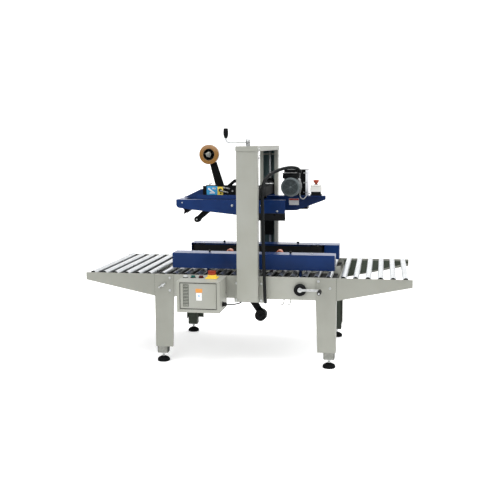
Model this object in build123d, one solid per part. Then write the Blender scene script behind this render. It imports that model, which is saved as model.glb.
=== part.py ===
from build123d import *
import math
import os

# Semi-automatic carton sealer with side drive belts. Millimetres.
# While the pieces are built, X runs along the conveyor, Y across it (the operator's side
# is -Y) and Z up, with Y = 0 on the conveyor's centre line and Z = 0 on the floor.
# save() then shifts every piece along Y so that the origin is under the middle of the
# whole machine's box.

# ---- bed -------------------------------------------------------------------------
bed_height = 570.0            # floor to the top edge of the side rails
bed_half_length = 575.0       # middle of the bed to its joint with each roller table
bed_half_width = 426.0        # centre line to the outer face of a side rail
rail_height = 141.0
rail_sheet = 3.0
rail_lip = 12.0               # width of the lips folded inwards along a rail
table_reach = 457.5           # length of a roller table beyond the bed
table_tip_height = 47.0
table_gap = 1.0               # between a table and the bed it is bolted to
inner_rail_half_gap = 54.0    # centre line to the inner ends of the bed rollers
inner_rail_height = 62.0      # rails beside the lower cartridge, and above the cross ties
tie_depth = 30.0
tie_width = 22.0
table_tie_radius = 10.0

# ---- rollers ---------------------------------------------------------------------
roller_radius = 18.0
roller_wall = 2.0
roller_end_disc = 8.0         # bearing housing pressed into each end of a roller tube
roller_vent_radius = 2.0
roller_pitch = 75.0
roller_rise = 10.0            # top of the rollers above the top edge of the rails
roller_end_gap = 3.0
axle_radius = 5.0
axle_hole_clearance = 0.05
axle_seat = 1.0               # sheet left outside an axle's end, so it doesn't show
bed_roller_count = 15
table_roller_count = 6
first_table_roller = 41.0     # beyond the end of the bed

# ---- legs ------------------------------------------------------------------------
leg_top_width = 126.0
leg_foot_width = 114.0
leg_depth = 66.0
leg_bottom = 100.0
leg_sheet = 3.0
leg_lip = 12.0                # the fold along a leg's inner edge
leg_top_below_rail = 4.0
inner_leg_width = 66.0
inner_leg_depth = 52.0
inner_leg_bottom = 56.0
inner_leg_length = 300.0
inner_leg_centre_x = 533.0
leg_slide_clearance = 0.5
foot_radius = 40.0
foot_height = 20.0
foot_stem_radius = 6.0

# ---- columns and bridge ----------------------------------------------------------
column_x = 33.0               # the lift columns stand a little past the bed's middle
column_width = 130.0
column_depth = 57.0
column_sheet = 3.0
column_lip = 25.0
column_bottom = 420.0
column_top = 1341.0
flange_x0 = -60.0
flange_x1 = 126.0
flange_z0 = 405.0
flange_z1 = 540.0
flange_sheet = 4.0
bridge_height = 31.0
bridge_overhang = 3.0
bearing_plate_sheet = 6.0
upper_bearing_z = 1308.0
lower_bearing_z = 446.0

# ---- lift screws and top crank ---------------------------------------------------
screw_offset_x = 5.0          # screws stand this far past the columns' middle
screw_radius = 10.0
screw_clearance = 0.06
screw_bottom = 440.0
sprocket_radius = 28.0
sprocket_height = 8.0
crank_arm_z = 1396.0
crank_reach = 136.0
crank_rod_radius = 4.5
crank_hub_radius = 13.0
crank_hub_bottom = 1376.0
crank_hub_top = 1414.0
crank_bend = 20.0
grip_radius = 15.0
grip_length = 60.0
grip_clearance = 0.08

# ---- head ------------------------------------------------------------------------
beam_width = 68.0
beam_height = 65.0
beam_bottom = 1035.0
beam_wall = 4.0
carriage_height = 120.0
carriage_clearance = 0.6
carriage_depth = 44.0
guide_plate_width = 64.0
guide_plate_sheet = 6.0
guide_plate_bottom = 730.0
head_half_width = 113.0       # centre line to the outer face of a head plate
head_sheet = 3.0
head_nose_x = -511.0
head_tail_x = 219.0
head_top = 1021.0
head_flange = 45.0
skid_bottom = 887.0           # plane that the carton's top runs under
skid_top = 937.0
skid_width = 15.0
skid_x0 = -30.0
far_skid_x1 = 190.0
far_tail_x = 466.0
far_top = 1040.0
far_flange = 68.0
nose_bottom = 984.0
nose_top_depth = 42.0         # bar across the nose that the tape cartridge slots under
plate_over_skid = 2.0         # the plates' overlap behind the skids
head_underside = ((-505.0, 972.0), (-493.0, 965.0), (-417.0, 955.0), (-288.0, 942.0),
                  (-100.0, 922.0), (-40.0, 922.0))
far_tail_underside = ((271.0, 937.0), (466.0, 1011.0))
far_shelf_x = 84.0            # the far plate steps up to its shelf for the drive here
far_step_x = 72.0
far_hump = ((-14.0, 1021.0), (-40.0, 1078.0), (-393.0, 1078.0), (-500.0, 1027.0),
            (-511.0, 1027.0))

# ---- head drive ------------------------------------------------------------------
motor_x = 253.0
motor_z = 1106.0
motor_radius = 64.0           # over the cooling fins
motor_shield_radius = 58.0    # plain end shield next to the gearbox
motor_shield_y0 = 30.0
fan_cover_radius = 62.0
fan_cover_y0 = -118.0
fan_cover_y1 = -78.0
motor_y1 = 60.0
gearbox_y1 = 101.0
gearbox_half = 50.0
terminal_box = ((198.0, 308.0), (-84.0, 24.0), (1160.0, 1196.0))
drive_cover_x0 = 186.0
drive_cover_x1 = 345.0
drive_cover_y1 = 205.0
drive_cover_z0 = 946.0
drive_cover_z1 = 1212.0
drive_cover_sheet = 2.0
drive_roller_x = 150.0
drive_roller_radius = 38.0
drive_roller_half_length = 88.0

# ---- emergency stop --------------------------------------------------------------
stop_x = 404.0
stop_y = 79.0
stop_base_half = 36.0
stop_base_height = 28.0
stop_box_half_x = 37.0
stop_box_half_y = 30.0
stop_box_height = 44.0
stop_cap_radius = 20.0
stop_cap_rise = 26.0
stop_travel = 5.0
stop_stem_radius = 9.0

# ---- tape cartridges, in the cartridge's own x and height above its datum ---------
upper_cartridge_x = -221.0
upper_datum = 971.0
lower_cartridge_x = 0.0
lower_datum = 570.0
cartridge_x0 = -121.0
cartridge_x1 = 201.0
cartridge_z0 = -8.0
cartridge_z1 = 138.0
cartridge_half_width = 48.0
cartridge_sheet = 3.0
spacer_radius = 6.0
arm_pivot_x = 25.0
arm_pivot_z = 40.0
applying_roller_x = 170.0
applying_roller_z = -90.0
applying_roller_radius = 20.0
applying_roller_half_length = 26.0
arm_half_width = 34.0
arm_sheet = 5.0
arm_tube_radius = 9.0
arm_root_radius = 23.0        # round end of a cheek at its pivot
arm_tip_radius = 14.0
arm_pin_radius = 5.0
pin_clearance = 0.06
tape_arm_y0 = 36.0
tape_arm_sheet = 5.0
upper_hub = (-84.0, 345.0)
upper_arm_root = (-16.0, 112.0)
lower_hub = (40.0, 340.0)
lower_arm_root = (-108.0, 114.0)
tape_arm_root_radius = 30.0
tape_arm_tip_radius = 22.0
hub_radius = 38.0
hub_flange_radius = 41.0
hub_flange_sheet = 4.0
hub_half_width = 27.0
hub_pin_radius = 6.0
tape_radius = 65.0
tape_half_width = 24.0
tape_core_clearance = 0.2

# ---- side belts ------------------------------------------------------------------
belt_unit_x = 34.0
belt_unit_half_length = 522.5
belt_unit_inner_y = 193.0     # centre line to a housing's inner face
belt_unit_depth = 116.0
belt_unit_z0 = 594.0
belt_unit_z1 = 692.0
housing_sheet = 2.5
belt_x0 = -484.0
belt_x1 = 452.0
belt_inner_y = 188.0
drum_radius = 42.0
belt_thickness = 4.0
belt_z0 = 606.0
belt_z1 = 680.0
drum_clearance = 0.4
drum_shaft_radius = 8.0
belt_beam_half = 28.0
post_xs = (-262.5, 337.5)
post_thickness = 16.0
post_half_depth = 30.0
carriage_block_half = 35.0
block_z0 = 470.0
block_z1 = 530.0
guide_rod_radius = 10.0
guide_rod_xs = (-262.5, 320.0)
guide_z = 495.0

# ---- width screw and side crank --------------------------------------------------
width_screw_x = 354.0
width_screw_radius = 8.0
crank_disc_radius = 38.5
crank_disc_sheet = 12.0
side_crank_reach = 124.0
side_grip_length = 96.0
side_grip_radius = 13.0
side_arm_width = 14.0
side_arm_sheet = 6.0

# ---- control box -----------------------------------------------------------------
box_x0 = -374.0
box_x1 = -108.0
box_depth = 214.0
box_z0 = 376.0
box_z1 = 568.0
box_sheet = 2.0
door_margin_x = 20.0
door_margin_z0 = 22.0
door_margin_z1 = 10.0
door_gap = 1.0
hinge_radius = 4.0
button_xs = (-350.0, -302.0, -251.0)
button_y = -512.0
button_radius = 13.0
bezel_radius = 17.0
bezel_height = 4.0
button_rise = 9.0
button_clearance = 0.4
button_depth = 12.0           # below the top of the box
switch_x = -182.0
switch_plate_half = 36.0
switch_plate_height = 6.0
switch_collar_radius = 28.0
switch_collar_height = 16.0
switch_knob_height = 30.0
switch_boss_radius = 24.0
switch_bar_half = 23.0
switch_bar_width = 16.0
switch_gap = 0.3
gland_radius = 15.0
gland_nut_length = 20.0
gland_neck_radius = 9.0

# ---- fasteners -------------------------------------------------------------------
bolt_head_radius = 5.0
bolt_head_height = 4.0
flange_bolt_inset = 15.0
leg_bolts = ((-524.0, 500.0), (-475.0, 548.0), (-475.0, 467.0),
             (466.0, 549.0), (537.0, 507.0))
hook_xs = (250.0, 291.0)
hook_length = 24.0
hook_radius = 2.5
hook_inset = 5.0

# ---- cords -----------------------------------------------------------------------
conduit_radius = 10.5
stop_cable_radius = 3.5
control_cable_radius = 4.0

os.makedirs("parts", exist_ok=True)

# ---- values worked out from the sizes above ---------------------------------------
roller_z = bed_height + roller_rise - roller_radius
roller_half_length = bed_half_width - rail_lip - roller_end_gap
column_y = bed_half_width + flange_sheet          # inner face of a column
column_outer_y = column_y + column_depth
screw_x = column_x + screw_offset_x
screw_y = column_y + column_depth / 2
bridge_top = column_top + bridge_height
belt_outer_y = belt_unit_inner_y + belt_unit_depth
tip_x = bed_half_length + table_reach
box_front_y = -bed_half_width - box_depth
bridge_half_depth = column_outer_y + bridge_overhang
origin_y = (box_front_y - hinge_radius + bridge_half_depth) / 2


def save(name, shape):
    """Write one node's STEP file with the origin under the middle of the machine."""
    solids = shape.solids()
    piece = solids[0] if len(solids) == 1 else shape
    export_step(piece.moved(Location((0, -origin_y, 0))), f"parts/{name}.step")


def group(pieces):
    """Separate pieces of one kind, kept together in one node."""
    return Part() + list(pieces)


def block(x, y, z):
    """A box from three (low, high) pairs."""
    size = [high - low for low, high in (x, y, z)]
    centre = [(low + high) / 2 for low, high in (x, y, z)]
    return Pos(*centre) * Box(*size)


def rod_x(radius, x0, x1, y, z):
    return Pos((x0 + x1) / 2, y, z) * Rot(0, 90, 0) * Cylinder(radius, x1 - x0)


def rod_y(radius, y0, y1, x, z):
    return Pos(x, (y0 + y1) / 2, z) * Rot(90, 0, 0) * Cylinder(radius, y1 - y0)


def rod_z(radius, z0, z1, x, y):
    return Pos(x, y, (z0 + z1) / 2) * Cylinder(radius, z1 - z0)


def plate_xz(outline, y0, y1):
    """A flat plate with its outline in X and Z, from y0 to y1."""
    wire = Wire.make_polygon([(x, y0, z) for x, z in outline], close=True)
    return extrude(Face(wire), amount=y1 - y0, dir=(0, 1, 0))


def tapered_link(a, radius_a, b, radius_b, y0, y1):
    """A flat link with round ends of two sizes, joined by the tangent lines."""
    length = math.dist(a, b)
    along = math.atan2(b[1] - a[1], b[0] - a[0])
    lean = math.acos((radius_a - radius_b) / length)
    corners = []
    for side in (1, -1):
        angle = along + side * lean
        pair = [(c[0] + r * math.cos(angle), c[1] + r * math.sin(angle))
                for c, r in ((a, radius_a), (b, radius_b))]
        corners += pair if side == 1 else pair[::-1]
    bar = plate_xz(corners, y0, y1)
    return bar + rod_y(radius_a, y0, y1, *a) + rod_y(radius_b, y0, y1, *b)


def far_side(shape):
    """The same piece on the other side of the conveyor's centre line."""
    return mirror(shape, about=Plane.XZ)


def other_end(shape):
    """The same piece at the other end of the bed."""
    return mirror(shape, about=Plane.YZ)


def cord(points, radius):
    """A tube along straight runs joined by tangent arcs as large as the runs allow."""
    corner_radii = []
    for before, corner, after in zip(points, points[1:], points[2:]):
        run_in = Vector(*corner) - Vector(*before)
        run_out = Vector(*after) - Vector(*corner)
        turn = math.radians(run_in.get_angle(run_out))
        shorter = min(run_in.length, run_out.length)
        corner_radii.append(0.45 * shorter / math.tan(turn / 2))
    path = FilletPolyline(*points, radius=corner_radii)
    section = Plane(origin=path @ 0, z_dir=path % 0) * Circle(radius)
    return sweep(section, path=path)


# ---- bed frame -------------------------------------------------------------------
def side_rail():
    """Near side rail of the bed, a channel with its lips turned inwards."""
    y0 = -bed_half_width
    low = bed_height - rail_height
    rail = block((-bed_half_length, bed_half_length), (y0, y0 + rail_sheet), (low, bed_height))
    for z0 in (low, bed_height - rail_sheet):
        rail += block((-bed_half_length, bed_half_length), (y0, y0 + rail_lip),
                      (z0, z0 + rail_sheet))
    return rail


def bed_frame():
    rail = side_rail()
    hole = axle_radius + axle_hole_clearance
    inner = block((-bed_half_length, bed_half_length),
                  (-inner_rail_half_gap, -inner_rail_half_gap + rail_sheet),
                  (bed_height - inner_rail_height, bed_height))
    screw_hole = rod_y(width_screw_radius + screw_clearance, -bed_half_width - 1,
                       -bed_half_width + rail_sheet + 1, width_screw_x, guide_z)
    sides = (rail - screw_hole) + inner + far_side(rail) + far_side(inner)
    for i in range(bed_roller_count):
        x = (i - (bed_roller_count - 1) / 2) * roller_pitch
        sides -= rod_y(hole, -bed_half_width + axle_seat, bed_half_width - axle_seat,
                       x, roller_z)
    reach = bed_half_width - rail_sheet
    tie_xs = (-bed_half_length + 2 * tie_width, cartridge_x0 - tie_width,
              cartridge_x1 + tie_width, bed_half_length - 2 * tie_width)
    tie_top = bed_height - inner_rail_height
    for x in tie_xs:
        sides += block((x - tie_width / 2, x + tie_width / 2), (-reach, reach),
                       (tie_top - tie_depth, tie_top))
    for x in guide_rod_xs:
        sides += rod_y(guide_rod_radius, -reach, reach, x, guide_z)
    return sides


def table_frame():
    """Roller table at the outfeed end: two tapered side plates and two cross ties."""
    x0 = bed_half_length + table_gap
    low = bed_height - rail_height
    tip_low = bed_height - table_tip_height
    outline = [(x0, low), (x0, bed_height), (tip_x, bed_height), (tip_x, tip_low)]
    y0 = -bed_half_width
    side = plate_xz(outline, y0, y0 + rail_sheet)
    top = block((x0, tip_x), (y0, y0 + rail_lip), (bed_height - rail_sheet, bed_height))
    lip = [(x0, low), (x0, low + rail_sheet), (tip_x, tip_low + rail_sheet), (tip_x, tip_low)]
    side = side + top + plate_xz(lip, y0, y0 + rail_lip)
    side += block((tip_x - rail_sheet, tip_x), (y0, y0 + rail_lip), (tip_low, bed_height))
    hole = axle_radius + axle_hole_clearance
    for x in table_roller_xs():
        side -= rod_y(hole, y0 + axle_seat, y0 + rail_lip + 1, x, roller_z)
    frame = side + far_side(side)
    reach = bed_half_width - rail_sheet / 2
    frame += block((x0, x0 + rail_sheet), (-reach, reach), (low, tip_low))
    frame += rod_y(table_tie_radius, -reach, reach, table_roller_xs()[-2], tip_low)
    return frame


def table_roller_xs():
    first = bed_half_length + first_table_roller
    return [first + i * roller_pitch for i in range(table_roller_count)]


def roller_tube(y0, y1, x):
    """Zinc-plated tube with a bearing housing in each end, which has a small vent hole."""
    tube = rod_y(roller_radius, y0, y1, x, roller_z)
    tube -= rod_y(roller_radius - roller_wall, y0 + roller_end_disc, y1 - roller_end_disc,
                  x, roller_z)
    vent_z = roller_z - (roller_radius - roller_wall + axle_radius) / 2
    return tube - rod_y(roller_vent_radius, y0 - 1, y1 + 1, x, vent_z)


def table_roller(x):
    """A gravity roller with its axle ends in the table's side plates."""
    tube = roller_tube(-roller_half_length, roller_half_length, x)
    reach = bed_half_width - axle_seat
    return tube + rod_y(axle_radius, -reach, reach, x, roller_z)


def bed_rollers():
    """Short rollers in two rows, one each side of the lower tape cartridge."""
    rollers = []
    inner = inner_rail_half_gap + roller_end_gap
    for i in range(bed_roller_count):
        x = (i - (bed_roller_count - 1) / 2) * roller_pitch
        tube = roller_tube(-roller_half_length, -inner, x)
        tube += rod_y(axle_radius, -bed_half_width + axle_seat, -inner_rail_half_gap,
                      x, roller_z)
        rollers += [tube, far_side(tube)]
    return group(rollers)


# ---- legs ------------------------------------------------------------------------
def outer_leg():
    """Near outfeed leg: folded sheet, open inwards, whose front laps over the rail."""
    outer_x = bed_half_length
    y0 = -bed_half_width - leg_sheet
    rail_low = bed_height - rail_height
    front = [(outer_x, leg_bottom), (outer_x, bed_height - leg_top_below_rail),
             (outer_x - leg_top_width, bed_height - leg_top_below_rail),
             (outer_x - leg_top_width, rail_low), (outer_x - leg_foot_width, leg_bottom)]
    leg = plate_xz(front, y0, -bed_half_width)
    box = [(outer_x, leg_bottom), (outer_x, rail_low),
           (outer_x - leg_top_width, rail_low), (outer_x - leg_foot_width, leg_bottom)]
    leg += plate_xz(box, -bed_half_width, y0 + leg_depth)
    sheet = leg_sheet
    cavity = [(outer_x - sheet, leg_bottom - 1), (outer_x - sheet, rail_low - sheet),
              (outer_x - leg_top_width + sheet, rail_low - sheet),
              (outer_x - leg_foot_width + sheet, leg_bottom - 1)]
    leg -= plate_xz(cavity, y0 + sheet, y0 + leg_depth + 1)
    beyond_x = outer_x - leg_top_width - 1
    open_side = cavity[:2] + [(beyond_x, rail_low - sheet), (beyond_x, leg_bottom - 1)]
    return leg - plate_xz(open_side, y0 + leg_lip, y0 + leg_depth + 1)


def four(shape):
    """The piece and its mirror images at all four corners."""
    pair = [shape, far_side(shape)]
    pair += [other_end(s) for s in pair]
    return group(pair)


def inner_leg():
    """Telescoping inner leg with its screwed stem and rubber foot."""
    y0 = -bed_half_width + leg_slide_clearance
    half = inner_leg_width / 2
    cx = inner_leg_centre_x
    top = inner_leg_bottom + inner_leg_length
    leg = block((cx - half, cx + half), (y0, y0 + inner_leg_depth), (inner_leg_bottom, top))
    leg -= block((cx - half + leg_sheet, cx + half - leg_sheet),
                 (y0 + leg_sheet, y0 + inner_leg_depth - leg_sheet),
                 (inner_leg_bottom + leg_sheet, top + 1))
    cy = y0 + inner_leg_depth / 2
    leg += rod_z(foot_stem_radius, foot_height / 2, inner_leg_bottom + 1, cx, cy)
    pad = Pos(cx, cy, foot_height / 2) * Cone(foot_radius, foot_radius / 2, foot_height)
    return leg + pad


# ---- columns, bridge, lift screws -------------------------------------------------
def column():
    """Near lift column: a lipped channel open towards the head, on its flange plate."""
    x0 = column_x - column_width / 2
    x1 = column_x + column_width / 2
    outer = block((x0, x1), (-column_outer_y, -column_y), (column_bottom, column_top))
    inside = block((x0 + column_sheet, x1 - column_sheet),
                   (-column_outer_y + column_sheet, -column_y - column_sheet),
                   (column_bottom - 1, column_top + 1))
    mouth = block((x0 + column_lip, x1 - column_lip), (-column_y - column_sheet - 1,
                  -column_y + 1), (column_bottom - 1, column_top + 1))
    post = outer - inside - mouth
    post += block((flange_x0, flange_x1), (-column_y, -bed_half_width), (flange_z0, flange_z1))
    for z in (upper_bearing_z, lower_bearing_z):
        post += block((x0 + 1, x1 - 1), (-column_outer_y + 1, -column_y),
                      (z, z + bearing_plate_sheet))
    return post - rod_z(screw_radius + screw_clearance, column_bottom,
                        column_top, screw_x, -screw_y)


def bridge_cap():
    """Channel across both columns that covers the chain between the lift screws."""
    half = column_width / 2 + bridge_overhang
    cap = block((column_x - half, column_x + half), (-bridge_half_depth, bridge_half_depth),
                (column_top, bridge_top))
    wall = bridge_overhang
    cap -= block((column_x - half + wall, column_x + half - wall),
                 (-bridge_half_depth + wall, bridge_half_depth - wall),
                 (column_top - 1, bridge_top - wall))
    return cap - rod_z(screw_radius + screw_clearance, column_top, bridge_top + 1,
                       screw_x, -screw_y)


def lift_screw(with_crank):
    """Lift screw with its chain sprocket; the near one also carries the top crank."""
    sprocket_z0 = column_top + bridge_height / 2 - sprocket_height / 2
    top = crank_hub_bottom + 1 if with_crank else sprocket_z0
    screw = rod_z(screw_radius, screw_bottom, top, screw_x, -screw_y)
    screw += rod_z(sprocket_radius, sprocket_z0, sprocket_z0 + sprocket_height,
                   screw_x, -screw_y)
    if not with_crank:
        return far_side(screw)
    screw += rod_z(crank_hub_radius, crank_hub_bottom, crank_hub_top, screw_x, -screw_y)
    grip_top = crank_arm_z + crank_bend + grip_length
    end_x = screw_x - crank_reach
    path = FilletPolyline((screw_x, -screw_y, crank_arm_z), (end_x, -screw_y, crank_arm_z),
                          (end_x, -screw_y, grip_top), radius=crank_bend - 2)
    return screw + sweep(Plane(path @ 0, z_dir=path % 0) * Circle(crank_rod_radius), path=path)


def lift_grip():
    """Black turning grip on the top crank, waisted towards the arm."""
    z0 = crank_arm_z + crank_bend + 4
    x = screw_x - crank_reach
    lower = Pos(x, -screw_y, z0 + grip_length / 4) * Cone(
        grip_radius * 0.6, grip_radius, grip_length / 2)
    upper = Pos(x, -screw_y, z0 + 3 * grip_length / 4) * Cone(
        grip_radius, grip_radius * 0.85, grip_length / 2)
    return lower + upper - rod_z(crank_rod_radius + grip_clearance, z0 - 1,
                                 crank_arm_z + crank_bend + grip_length + 1, x, -screw_y)


# ---- head ------------------------------------------------------------------------
def head_beam():
    """Cross beam with a carriage at each end that climbs the lift screws."""
    x0 = column_x - beam_width / 2
    x1 = column_x + beam_width / 2
    back = column_y + column_sheet + carriage_clearance
    beam = block((x0, x1), (-back - 1, back + 1), (beam_bottom, beam_bottom + beam_height))
    beam -= block((x0 + beam_wall, x1 - beam_wall), (-back - 2, back + 2),
                  (beam_bottom + beam_wall, beam_bottom + beam_height - beam_wall))
    half = column_width / 2 - column_sheet - carriage_clearance
    mid = beam_bottom + beam_height / 2
    carriage = block((column_x - half, column_x + half), (-back - carriage_depth, -back),
                     (mid - carriage_height / 2, mid + carriage_height / 2))
    guide = block((column_x - guide_plate_width / 2, column_x + guide_plate_width / 2),
                  (-back - guide_plate_sheet, -back), (guide_plate_bottom, mid))
    end = carriage + guide
    end -= rod_z(screw_radius + screw_clearance, guide_plate_bottom - 1,
                 mid + carriage_height, screw_x, -screw_y)
    beam += end + far_side(end)
    for side in (-1, 1):
        y = side * (head_half_width - head_flange / 2)
        beam += block((x0, x1), (y - head_flange / 2, y + head_flange / 2 - head_sheet),
                      (head_top, beam_bottom))
    return beam


def lower_edge(tail_x):
    """Underside of a head plate, from its nose back to the end of its skid."""
    low = skid_top - plate_over_skid
    return [(head_nose_x, nose_bottom), *head_underside, (skid_x0, low), (tail_x, low)]


def head_plate_near():
    """Near head plate with its folded top, nose bar and hold-down skid."""
    y0 = -head_half_width
    sheet = head_sheet
    outline = lower_edge(head_tail_x) + [(head_tail_x, head_top), (head_nose_x, head_top)]
    plate = plate_xz(outline, y0, y0 + sheet)
    plate += block((head_nose_x, head_tail_x), (y0, y0 + head_flange),
                   (head_top - sheet, head_top))
    plate += block((head_nose_x, head_nose_x + sheet), (y0, -y0 - sheet),
                   (nose_bottom, head_top))
    plate += block((head_nose_x, head_nose_x + nose_top_depth), (y0, -y0 - sheet),
                   (head_top - sheet, head_top))
    plate += block((skid_x0, head_tail_x), (y0, y0 + skid_width), (skid_bottom, skid_top))
    return plate - drive_roller_bore()


def head_plate_far():
    """Far head plate, longer and higher, that carries the drive and the stop button."""
    y1 = head_half_width
    outline = lower_edge(far_skid_x1) + [*far_tail_underside, (far_tail_x, far_top)]
    outline += [(far_shelf_x, far_top), (far_step_x, head_top), *far_hump]
    plate = plate_xz(outline, y1 - head_sheet, y1)
    plate += block((far_shelf_x, far_tail_x), (y1 - far_flange, y1),
                   (far_top - head_sheet, far_top))
    plate += block((skid_x0, far_skid_x1), (y1 - skid_width, y1), (skid_bottom, skid_top))
    return plate - drive_roller_bore()


def drive_roller_bore():
    z = skid_bottom + drive_roller_radius
    return rod_y(drum_shaft_radius + pin_clearance, -head_half_width - 1,
                 head_half_width + 1, drive_roller_x, z)


def head_motor():
    """Gear motor: fan cover, finned body, gearbox and terminal box on top."""
    motor = rod_y(fan_cover_radius, fan_cover_y0, fan_cover_y1, motor_x, motor_z)
    motor += rod_y(motor_radius, fan_cover_y1, motor_shield_y0, motor_x, motor_z)
    motor += rod_y(motor_shield_radius, motor_shield_y0, motor_y1, motor_x, motor_z)
    motor += block((motor_x - gearbox_half, motor_x + gearbox_half), (motor_y1, gearbox_y1),
                   (motor_z - gearbox_half, motor_z + gearbox_half))
    return motor + block(*terminal_box)


def drive_cover():
    """Upright sheet cover behind the far plate, over the chain to the drive roller."""
    cover = block((drive_cover_x0, drive_cover_x1), (head_half_width, drive_cover_y1),
                  (drive_cover_z0, drive_cover_z1))
    inset = drive_cover_sheet
    cover -= block((drive_cover_x0 + inset, drive_cover_x1 - inset),
                   (head_half_width + inset, drive_cover_y1 - inset),
                   (drive_cover_z0 + inset, drive_cover_z1 - inset))
    mount = block((drive_cover_x0, drive_cover_x1), (gearbox_y1, head_half_width),
                  (far_top, drive_cover_z1))
    return cover + mount


def drive_roller():
    z = skid_bottom + drive_roller_radius
    roller = rod_y(drive_roller_radius, -drive_roller_half_length,
                   drive_roller_half_length, drive_roller_x, z)
    return roller + rod_y(drum_shaft_radius, -head_half_width - 2,
                          head_half_width + 4, drive_roller_x, z)


def stop_box():
    """Emergency stop housing: black foot, grey box, hole for the button's stem."""
    z0 = far_top
    z1 = z0 + stop_base_height
    foot = block((stop_x - stop_base_half, stop_x + stop_base_half),
                 (stop_y - stop_box_half_y, stop_y + stop_box_half_y), (z0, z1))
    box = block((stop_x - stop_box_half_x, stop_x + stop_box_half_x),
                (stop_y - stop_box_half_y, stop_y + stop_box_half_y),
                (z1, z1 + stop_box_height))
    bore = rod_z(stop_stem_radius + button_clearance, z1 + stop_base_height / 2,
                 z1 + stop_box_height + 1, stop_x, stop_y)
    return foot + box - bore


def stop_button():
    """Red mushroom button on its stem."""
    z0 = far_top + stop_base_height + stop_box_height
    stem = rod_z(stop_stem_radius, z0 - stop_box_height / 2, z0 + stop_travel + 2,
                 stop_x, stop_y)
    cap = Pos(stop_x, stop_y, z0 + stop_travel + stop_cap_rise / 2 + 1) * Cone(
        stop_cap_radius * 0.7, stop_cap_radius, stop_cap_rise)
    return stem + cap


# ---- tape cartridges ---------------------------------------------------------------
def cartridge_frame(hub, root):
    """Two side plates, spacers, the arms' pivot pins and the tape arm with its pin."""
    corner = 22.0
    plate = [(cartridge_x0, cartridge_z0 + corner), (cartridge_x0 + corner, cartridge_z0),
             (cartridge_x1 - corner, cartridge_z0), (cartridge_x1, cartridge_z0 + corner),
             (cartridge_x1, cartridge_z1 - corner), (cartridge_x1 - corner, cartridge_z1),
             (cartridge_x0, cartridge_z1)]
    w = cartridge_half_width
    frame = plate_xz(plate, -w, -w + cartridge_sheet) + plate_xz(plate, w - cartridge_sheet, w)
    spacers = ((cartridge_x0 + 14, cartridge_z1 - 14), (cartridge_x1 - 32, cartridge_z1 - 14),
               (40, cartridge_z1 - 12))
    for x, z in spacers:
        frame += rod_y(spacer_radius, -w + 1, w - 1, x, z)
    for x in (-arm_pivot_x, arm_pivot_x):
        frame += rod_y(arm_pin_radius, -w + 1, w - 1, x, arm_pivot_z)
    y1 = tape_arm_y0 + tape_arm_sheet
    frame += tapered_link(root, tape_arm_root_radius, hub, tape_arm_tip_radius, tape_arm_y0, y1)
    frame += rod_y(spacer_radius, y1 - 1, w - 1, root[0], root[1])
    return frame + rod_y(hub_pin_radius, -hub_half_width - 8, y1, *hub)


def roller_arm(side):
    """One applying arm: two cheeks, pivot tube, cross web and rubber-faced roller."""
    pivot = (side * arm_pivot_x, arm_pivot_z)
    end = (side * applying_roller_x, applying_roller_z)
    arm = None
    for y0 in (-arm_half_width, arm_half_width - arm_sheet):
        cheek = tapered_link(pivot, arm_root_radius, end, arm_tip_radius, y0, y0 + arm_sheet)
        arm = cheek if arm is None else arm + cheek
    arm += rod_y(arm_tube_radius, -arm_half_width + 1, arm_half_width - 1, *pivot)
    middle = [(p + q) / 2 for p, q in zip(pivot, end)]
    arm += rod_y(spacer_radius, -arm_half_width + 1, arm_half_width - 1, *middle)
    arm += rod_y(applying_roller_radius, -applying_roller_half_length,
                 applying_roller_half_length, *end)
    arm += rod_y(arm_pin_radius, -arm_half_width + 1, arm_half_width - 1, *end)
    return arm - rod_y(arm_pin_radius + pin_clearance, -cartridge_half_width,
                       cartridge_half_width, *pivot)


def tape_hub(hub):
    """Braked hub that the tape roll's core is pushed onto."""
    w = hub_half_width
    drum = rod_y(hub_radius, -w, w, *hub)
    drum += rod_y(hub_flange_radius, w, w + hub_flange_sheet, *hub)
    return drum - rod_y(hub_pin_radius + pin_clearance, -w - 1, w + 10, *hub)


def tape_roll():
    ring = rod_y(tape_radius, -tape_half_width, tape_half_width, *upper_hub)
    return ring - rod_y(hub_radius + tape_core_clearance, -tape_half_width - 1,
                        tape_half_width + 1, *upper_hub)


def in_head(shape):
    return Pos(upper_cartridge_x, 0, upper_datum) * shape


def in_bed(shape):
    """Cartridge turned upside down under the bed."""
    return Pos(lower_cartridge_x, 0, lower_datum) * mirror(shape, about=Plane.XY)


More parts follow.
